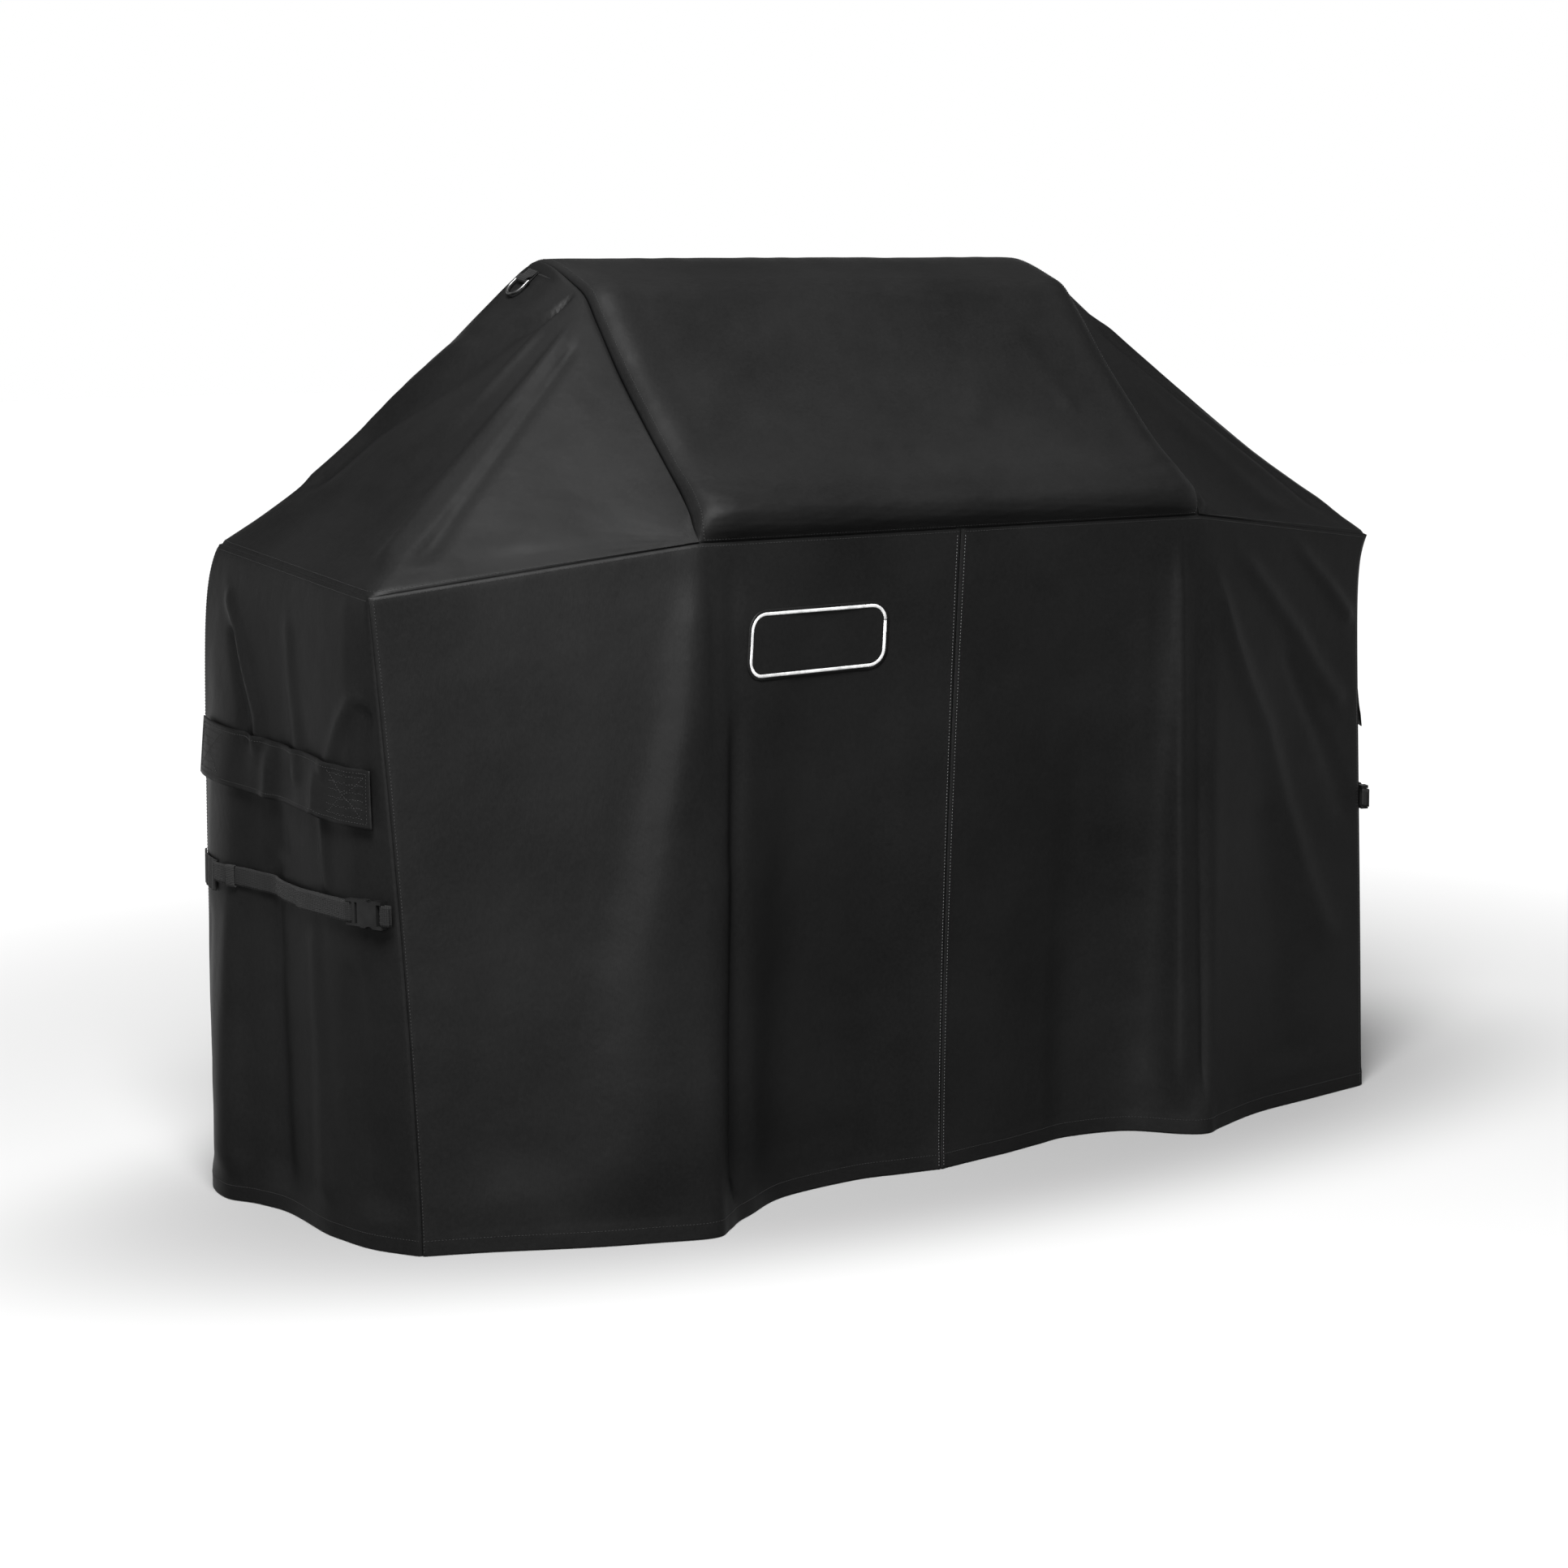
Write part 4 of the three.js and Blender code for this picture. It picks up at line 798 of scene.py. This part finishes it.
def lid():
    """The lid panel is padded out along its gable seams and over the handle, and slack in between."""
    panel = Panel(lid_surface(), LID_WIDTH, LID_LENGTH)
    panel.relax(3)
    x = panel.u - panel.length / 2
    front = smooth(0.24, 0.32, panel.drop) * smooth(0.56, 0.47, panel.drop)
    border = np.exp(-(((np.abs(x) - 352) / 20) ** 2))
    border = border * smooth(0.2, 0.26, panel.drop) * smooth(0.62, 0.5, panel.drop)
    panel.push(3.0 * border - 6.0 * front * smooth(345, 180, np.abs(x)))
    panel.crease([(0.85, 0.29), (0.835, 0.36), (0.81, 0.42)], (3, 1), (10, 26))
    panel.crease([(0.60, 0.28), (0.72, 0.35), (0.83, 0.41)], (3, 1), (20, 30))
    panel.crease([(0.08, 0.29), (0.18, 0.36), (0.30, 0.41)], (2, 1), (20, 30))
    panel.crease([(0.02, 0.215), (0.08, 0.20), (0.14, 0.195)], (-3, -1), (7, 10))
    panel.crease([(0.98, 0.215), (0.92, 0.20), (0.86, 0.195)], (-3, -1), (7, 10))
    panel.crease([(0.30, 0.70), (0.34, 0.85), (0.30, 0.95)], (3, 4), (20, 40))
    panel.crease([(0.66, 0.72), (0.62, 0.85), (0.66, 0.96)], (3, 4), (20, 40))
    surface_wrinkles(panel, 19, 0.8)
    panel.push(wrinkles(panel.u, panel.v, 23, 45) * 0.45 * panel.edge_fade(30))
    tuck_seams(panel, bottom=True)
    return panel


PANELS = {"lid": lid()}
for side in ("left", "right"):
    PANELS[side] = {"front": front_skirt(side), "end": end_skirt(side), "back": back_skirt(side),
                    "roof": side_roof(side)}

cloth("lid_cloth", PANELS["lid"], "lid_panel")
for side in ("left", "right"):
    made = PANELS[side]
    cloth(f"{side}_front_cloth", made["front"], f"{side}_front_skirt")
    cloth(f"{side}_end_cloth", made["end"], f"{side}_end_skirt")
    cloth(f"{side}_back_cloth", made["back"], f"{side}_back_skirt")
    cloth(f"{side}_roof_cloth", made["roof"], f"{side}_side_roof")


# ---------------------------------------------------------------- seams: tapes inside, stitching outside

TAPE_OUT = -2.0         # the tapes lie just inside the cloth
TAPE = 0.8
TAPE_NEAR, TAPE_FAR = 2, 16     # a tape's two edges, from its seam
SEWN = 6                # a row of stitches, from its seam
EAVE_TAPE = (TAPE_NEAR / SKIRT_HEIGHT, TAPE_FAR / SKIRT_HEIGHT)
SEAM_TAPE = (24 / SKIRT_HEIGHT, 1 - 26 / SKIRT_HEIGHT)


def tape(name, panel, shares, drops, node):
    patch(name, panel, shares, drops, TAPE_OUT, TAPE, BINDING, node, step=8.0)


def seam_tapes():
    """Tapes along the eave, the gables, the corners and the two centre seams."""
    front_start = (TAPE_NEAR / FRONT_LENGTH, TAPE_FAR / FRONT_LENGTH)
    front_end = (1 - TAPE_FAR / FRONT_LENGTH, 1 - TAPE_NEAR / FRONT_LENGTH)
    end_start = (TAPE_NEAR / END_LENGTH, TAPE_FAR / END_LENGTH)
    end_end = (1 - TAPE_FAR / END_LENGTH, 1 - TAPE_NEAR / END_LENGTH)
    for side in ("left", "right"):
        made = PANELS[side]
        for which in ("front", "end", "back"):
            tape(f"{side}_{which}_eave_tape", made[which], (0.004, 0.996), EAVE_TAPE, "eave_binding")
        corner = f"{side}_front_corner_tape"
        tape(f"{corner}.front", made["front"], front_end, SEAM_TAPE, corner)
        tape(f"{corner}.end", made["end"], end_start, SEAM_TAPE, corner)
        corner = f"{side}_back_corner_tape"
        tape(f"{corner}.end", made["end"], end_end, SEAM_TAPE, corner)
        tape(f"{corner}.back", made["back"], front_start, SEAM_TAPE, corner)
        tape(f"{side}_gable_tape", made["roof"], (0.25, 0.80), (0.006, 0.034), f"{side}_gable_binding")
        tape(f"{side}_front_centre_tape", made["front"], front_start, SEAM_TAPE, "front_centre_tape")
        tape(f"{side}_back_centre_tape", made["back"], front_end, SEAM_TAPE, "back_centre_tape")


def seam_stitches():
    """Two rows beside each centre seam, and one along every other seam and the hem."""
    down = np.linspace(0.012, 0.995, 60)
    along = np.linspace(0.006, 0.994, 60)
    threads, centre = Stitching(), Stitching()
    for side in ("left", "right"):
        made = PANELS[side]
        centre.row(made["front"], (FELL - 2) / FRONT_LENGTH, down)
        centre.row(made["back"], 1 - (FELL - 2) / FRONT_LENGTH, down)
        threads.row(made["front"], 1 - SEWN / FRONT_LENGTH, down)
        threads.row(made["end"], 1 - SEWN / END_LENGTH, down)
        for which in ("front", "end", "back"):
            threads.row(made[which], along, 1 - (HEM - 3) / SKIRT_HEIGHT)
            threads.row(made[which], along, SEWN / SKIRT_HEIGHT)
        threads.row(made["roof"], np.linspace(0.06, 0.94, 60), 1 - SEWN / ROOF_HEIGHT)
    for share in (SEWN / LID_WIDTH, 1 - SEWN / LID_WIDTH):
        threads.row(PANELS["lid"], share, along)
    for drop in (SEWN / LID_LENGTH, 1 - SEWN / LID_LENGTH):
        threads.row(PANELS["lid"], along, drop)
    threads.finish("seam_stitching", THREAD)
    centre.finish("centre_seam_stitching", PALE_THREAD)


# ---------------------------------------------------------------- vents

FLAP_SHARES, FLAP_DROPS = (0.05, 0.95), (0.262, 0.349)
FLAP_LENGTH, FLAP_HEIGHT = 423, 72
FLAP_OFF, FLAP_LEAN, FLAP_THICK = 4.0, 4.0, 1.6
VENT_SHARES, VENT_DROPS = (0.36, 0.64), (0.28, 0.335)
VENT_EDGE = 5           # width of the binding round the vent
TAPE_DROPS = (0.3165, 0.3405)
TAPE_SHARES = {"front": (0.065, 0.197), "rear": (0.803, 0.935)}


def blend(limits, t):
    return limits[0] + (limits[1] - limits[0]) * np.asarray(t)


def unblend(limits, value):
    return (value - limits[0]) / (limits[1] - limits[0])


def flap_off(across, down):
    """How far the flap's inner face stands off the skirt: it puffs out in two soft folds."""
    puffs = 7.0 * np.exp(-(((across - 0.54) / 0.035) ** 2)) + 8.0 * np.exp(-(((across - 0.25) / 0.045) ** 2))
    slack = 1.2 * np.sin(across * 23) * smooth(0.15, 0.4, across) * smooth(0.85, 0.6, across)
    return FLAP_OFF + FLAP_LEAN * down + (puffs + slack) * smooth(-0.1, 0.6, down)


def flap_outer(across, down):
    """The flap's outer face, with its doubled border."""
    from_end = np.minimum(across, 1 - across) * FLAP_LENGTH
    from_long_edge = np.minimum(down, 1 - down) * FLAP_HEIGHT
    border = np.minimum(from_end, from_long_edge)
    return flap_off(across, down) + FLAP_THICK * 0.6 + 0.5 * smooth(9, 7, border)


def vent_flap(side):
    """The flap: a puffed band of cloth, sewn round its border and quilted over its two ends."""
    end, body = PANELS[side]["end"], f"{side}_vent_flap"
    s, t = np.meshgrid(np.linspace(0, 1, 121), np.linspace(0, 1, 25))
    place = blend(FLAP_SHARES, s), blend(FLAP_DROPS, t)
    faces = end.at(*place, flap_outer(s, t)), end.at(*place, flap_off(s, t))
    uv = np.stack([s * FLAP_LENGTH, t * FLAP_HEIGHT], -1)
    flap = shell(f"{side}_vent_flap_cloth", *faces, uv, CLOTH_BLACK, end.mirror, body)
    declare(flap, f"{side}_vent_flap")

    threads = Stitching()

    def sew(across, down):
        across, down = np.broadcast_arrays(np.asarray(across, float), np.asarray(down, float))
        place = blend(FLAP_SHARES, across), blend(FLAP_DROPS, down)
        threads.row(end, *place, flap_outer(across, down) + 0.15)

    run, fall = np.linspace(0.015, 0.985, 80), np.linspace(0.08, 0.92, 12)
    sew(run, 0.08)
    sew(run, 0.92)
    sew(0.016, fall)
    sew(0.984, fall)
    for low in (0.03, 0.82):
        box = np.linspace(low, low + 0.15, 14)
        for down in np.linspace(0.16, 0.84, 6):
            sew(box, down + 0.02 * np.sin(box * 300))
        sew(box, np.linspace(0.14, 0.86, 14))
        sew(box, np.linspace(0.86, 0.14, 14))
    threads.finish(f"{side}_flap_stitching", THREAD, body)


def vent_net(side):
    """The net lies on the end skirt, bound round its edge."""
    end = PANELS[side]["end"]
    patch(f"{side}_vent_net", end, VENT_SHARES, VENT_DROPS, 0.1, 0.5, MESH, f"{side}_vent_mesh")
    width, height = VENT_EDGE / END_LENGTH, VENT_EDGE / SKIRT_HEIGHT
    (a, b), (c, d) = VENT_SHARES, VENT_DROPS
    frames = {"top": ((a, b), (c - height, c)), "bottom": ((a, b), (d, d + height)),
              "front": ((a - width, a), (c, d)), "rear": ((b, b + width), (c, d))}
    for place, (shares, drops) in frames.items():
        patch(f"{side}_vent_{place}_edge", end, shares, drops, 0.1, 1.0, BINDING, step=3.0)


def hook_and_loop(side):
    """Hook tape on the back of the flap's two ends, and loop tape on the skirt under it."""
    end, body = PANELS[side]["end"], f"{side}_vent_flap"
    for place, shares in TAPE_SHARES.items():

        def behind_flap(s, t):
            across = unblend(FLAP_SHARES, blend(shares, s))
            down = unblend(FLAP_DROPS, blend(TAPE_DROPS, t))
            return flap_off(across, down) - 1.1

        patch(f"{side}_{place}_hook_tape", end, shares, TAPE_DROPS, behind_flap, 0.9, HOOK_LOOP,
              f"{side}_{place}_hook_patch", body, step=3.0)
        patch(f"{side}_{place}_loop_tape", end, shares, TAPE_DROPS, 0.3, 1.0, HOOK_LOOP,
              f"{side}_{place}_loop_patch", step=3.0)


# ---------------------------------------------------------------- straps

STRAP_Z = 420.0
WEB_HALF = 12.5
WEB_THICK = 1.4
# The buckle's place in plan: its origin at the front corner seam, and the direction that the strap runs in.
BUCKLE = {"left": ((-761.2, -284.8), (-0.3607, 0.9327)), "right": ((-767.3, -276.8), (-0.3357, 0.9420))}


def drop_at(share, z):
    """The drop on the end skirt that lies at height z."""
    front, back = FRONT_CORNER[2], BACK_CORNER[2]
    return 1 - z / (front + (back - front) * np.asarray(share))


def strap(side):
    end = PANELS[side]["end"]
    origin, along = BUCKLE[side]
    along = np.array([*along, 0.0])
    out = np.array([-along[1], along[0], 0.0])

    def buckle_point(x, y):
        return np.array([*origin, STRAP_Z]) + along * x + out * y

    def on_skirt(share, off):
        rise = 5 * smooth(0.25, 0.75, share) - 3 * np.exp(-(((share - 0.45) / 0.12) ** 2))
        return end.at(np.array([share]), drop_at([share], STRAP_Z + rise), np.array([off]))[0]

    short = [(0, 6.6), (5, 8.1), (14, 8.1), (15.8, 6.6), (15.8, 3.4), (14, 1.9), (5, 1.9), (0, 3.2)]
    ribbon(f"{side}_short_webbing", [buckle_point(*p) for p in short], (0, 0, 1), WEB_HALF, WEB_THICK,
           WEBBING, f"{side}_short_strap", end.mirror)

    run = [on_skirt(share, 5.0 + 1.2 * math.sin(share * 17)) for share in np.linspace(0.80, 0.24, 24)]
    round_bar = ((72, 1.9), (64.5, 1.9), (62.8, 3.4), (62.8, 6.6), (64.5, 8.1), (72, 8.1))
    turn = [buckle_point(*p) for p in round_bar]
    tail = [on_skirt(share, 8.0 + 2.5 * smooth(0.3, 0.4, share)) for share in np.linspace(0.24, 0.41, 8)]
    ribbon(f"{side}_long_webbing", run + turn + tail, (0, 0, 1), WEB_HALF, WEB_THICK,
           WEBBING, f"{side}_long_strap", end.mirror)

    at = on_skirt(0.71, 0.0)
    ahead = unit(on_skirt(0.73, 0.0) - on_skirt(0.69, 0.0))
    ahead[2] = 0
    ahead = unit(ahead)
    away = np.array([-ahead[1], ahead[0], 0.0])
    loop = [(5.5, -14.2), (3.2, -13.6), (3.0, 0), (3.2, 13.6), (5.5, 14.2), (7.6, 13.6), (8.0, 0),
            (7.6, -13.6), (5.5, -14.4)]
    ribbon(f"{side}_elastic_keeper", [at + away * y + np.array([0, 0, z]) for y, z in loop], ahead, 8.0, 1.2,
           BINDING, f"{side}_strap_keeper", end.mirror)

    rise = drop_at(0.89, STRAP_Z + 20), drop_at(0.89, STRAP_Z - 20)
    patch(f"{side}_ribbed_anchor", end, (0.805, 0.97), rise,
          lambda s, t: 0.9 + 1.6 * np.abs(np.sin(s * math.pi * 5)) ** 0.7, 1.4, WEBBING,
          f"{side}_strap_anchor", step=1.5)
    threads = Stitching()
    for share in (0.81, 0.965):
        threads.row(end, share, np.linspace(rise[0] + 0.004, rise[1] - 0.004, 8), 2.6)
    threads.finish(f"{side}_anchor_stitching", THREAD)


# ---------------------------------------------------------------- hanging rings


def ring_tab(side):
    """Webbing sewn to the side roof, round the ring's bar and back on itself."""
    line = [(20, -3.2), (8, -3.2), (1, -3.2), (-2.4, -2.6), (-3.5, 0), (-2.4, 2.6), (1, 3.4), (5, 2.2),
            (9, -0.9), (20, -1.7)]
    path = [RING_AT + RING_UP * y + RING_OUT * z for y, z in line]
    ribbon(f"{side}_ring_webbing", path, RING_WIDE, WEB_HALF, 1.2, WEBBING, f"{side}_hanging_tab",
           side == "right")


# ---------------------------------------------------------------- the blank badge

BADGE = {"x": -206.0, "z": 720.0, "width": 205.0, "height": 88.0, "corner": 26.0, "line": 4.0}


def badge():
    """A plain woven badge: a black field inside a rounded silver line, with nothing written on it."""
    front = PANELS["left"]["front"]

    def place(x, z):
        share = (BADGE["x"] + x) / FRONT_GABLE[0] * FRONT_CREST["left"]
        return share, 1 - (BADGE["z"] + z) / FRONT_GABLE[2]

    half_w, half_h = BADGE["width"] / 2, BADGE["height"] / 2

    def outline(inset):
        r = BADGE["corner"] - inset
        turn = np.linspace(0, math.pi / 2, 12)
        corners = [(1, 1, 0), (-1, 1, 1), (-1, -1, 2), (1, -1, 3)]
        points = [(sx * (half_w - inset - r) + r * math.cos(a + q * math.pi / 2),
                   sz * (half_h - inset - r) + r * math.sin(a + q * math.pi / 2))
                  for sx, sz, q in corners for a in turn]
        return np.array(points + points[:1])

    def band(name, insets, off, thickness, material):
        rings = np.stack([outline(i) for i in insets])
        share, drop = place(rings[..., 0], rings[..., 1])
        edges = np.array([0.4] + [1.0] * (len(insets) - 2) + [0.4])
        top = off + thickness * edges[:, None]
        outer, inner = front.at(share, drop, top + 0 * share), front.at(share, drop, off + 0 * share)
        shell(name, outer, inner, rings, material)

    across, down = np.meshgrid(np.linspace(1, -1, 41), np.linspace(1, -1, 33))
    z = down * half_h
    past = np.maximum(np.abs(z) - (half_h - BADGE["corner"]), 0)
    x = across * (half_w - BADGE["corner"] + np.sqrt(BADGE["corner"] ** 2 - past ** 2))
    faces = front.at(*place(x, z), 1.0), front.at(*place(x, z), 0.5)
    declare(shell("badge_field", *faces, np.stack([x, z], -1), CLOTH_BLACK), "front_label")
    line = BADGE["line"]
    band("badge_line", [4, 4.6, 4 + line - 0.6, 4 + line], 1.1, 0.6, SILVER)


def buckles_and_rings():
    """The moulded buckles and the metal rings are the CAD's own, with softened edges."""
    for name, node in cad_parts.items():
        plastic, metal = "buckle" in name, "hanging_ring" in name
        if not (plastic or metal):
            continue
        node.data.materials.clear()
        node.data.materials.append(PLASTIC if plastic else METAL)
        bevel = node.modifiers.new("edges", "BEVEL")
        bevel.width = 0.0005
        bevel.segments = 2
        bevel.limit_method = "ANGLE"
        bevel.angle_limit = math.radians(35)
        bevel.harden_normals = True


seam_tapes()
seam_stitches()
for side in ("left", "right"):
    vent_flap(side)
    vent_net(side)
    hook_and_loop(side)
    strap(side)
    ring_tab(side)
badge()
buckles_and_rings()

# ---------------------------------------------------------------- camera, floor and light


def link(obj):
    bpy.context.scene.collection.objects.link(obj)
    return obj


def camera():
    """Looks at the cover from its left front, with a long lens."""
    data = bpy.data.cameras.new("camera")
    data.lens, data.sensor_width = 72.36, 36.0
    turn = Matrix.Rotation(math.radians(-31.35), 4, "Z") @ Matrix.Rotation(math.radians(90 - 8.55), 4, "X")
    turn = turn @ Matrix.Rotation(math.radians(-0.76), 4, "Z")
    obj = link(bpy.data.objects.new("camera", data))
    obj.matrix_world = Matrix.Translation((-2.2762, -3.5957, 1.1256)) @ turn
    bpy.context.scene.camera = obj


def floor():
    """A pale floor: it glows more away from the cover, and is shaded in an oval round the hem."""
    n = Nodes(bpy.data.materials.new("pale_floor"))
    n.set("Base Color", (0.085, 0.085, 0.085, 1))
    n.set("Roughness", 0.9)
    n.set("Specular IOR Level", 0.1)
    n.set("Emission Color", (1, 1, 1, 1))
    spot = n.add("ShaderNodeTexCoord").outputs["Object"]
    glow = n.remap(n.vector("LENGTH", spot), 1.1, 3.4, 0.42, 1.0, "SMOOTHSTEP")
    oval = n.vector("LENGTH", n.vector("MULTIPLY", spot, (1 / 0.88, 1 / 0.40, 0)))
    contact = n.remap(oval, 0.75, 1.75, 0.0, 1.0, "SMOOTHERSTEP")
    n.set("Emission Strength", n.math("MULTIPLY", glow, contact))

    mesh = bpy.data.meshes.new("floor")
    corners = [(-40, -40, -0.001), (40, -40, -0.001), (40, 40, -0.001), (-40, 40, -0.001)]
    mesh.from_pydata(corners, [], [(0, 1, 2, 3)])
    mesh.materials.append(n.owner)
    link(bpy.data.objects.new("floor", mesh))


def area_light(name, place, target, size, power):
    light = bpy.data.lights.new(name, "AREA")
    light.shape, light.size, light.size_y, light.energy = "RECTANGLE", size[0], size[1], power
    obj = link(bpy.data.objects.new(name, light))
    obj.location = place
    obj.rotation_euler = (Vector(target) - Vector(place)).to_track_quat("-Z", "Y").to_euler()


def sky():
    """White at the horizon and dim above."""
    world = bpy.data.worlds.new("studio")
    n = Nodes(world, "Background")
    parts = n.add("ShaderNodeSeparateXYZ", Vector=n.add("ShaderNodeTexCoord").outputs["Generated"])
    n.set("Strength", n.remap(parts.outputs["Z"], 0.12, 0.30, 1.0, 0.12))
    n.set("Color", (1, 1, 1, 1))
    bpy.context.scene.world = world


camera()
floor()
area_light("key", (-3.5, -4.0, 1.7), (-0.1, 0, 0.7), (1.2, 1.2), 400)
area_light("high_front", (-1.9, -2.7, 4.4), (-0.1, 0, 0.9), (2.0, 2.0), 2100)
area_light("overhead", (0.4, 1.4, 4.6), (0, 0.4, 0), (5.0, 3.0), 80)
sky()
bpy.context.scene.view_settings.view_transform = "Standard"
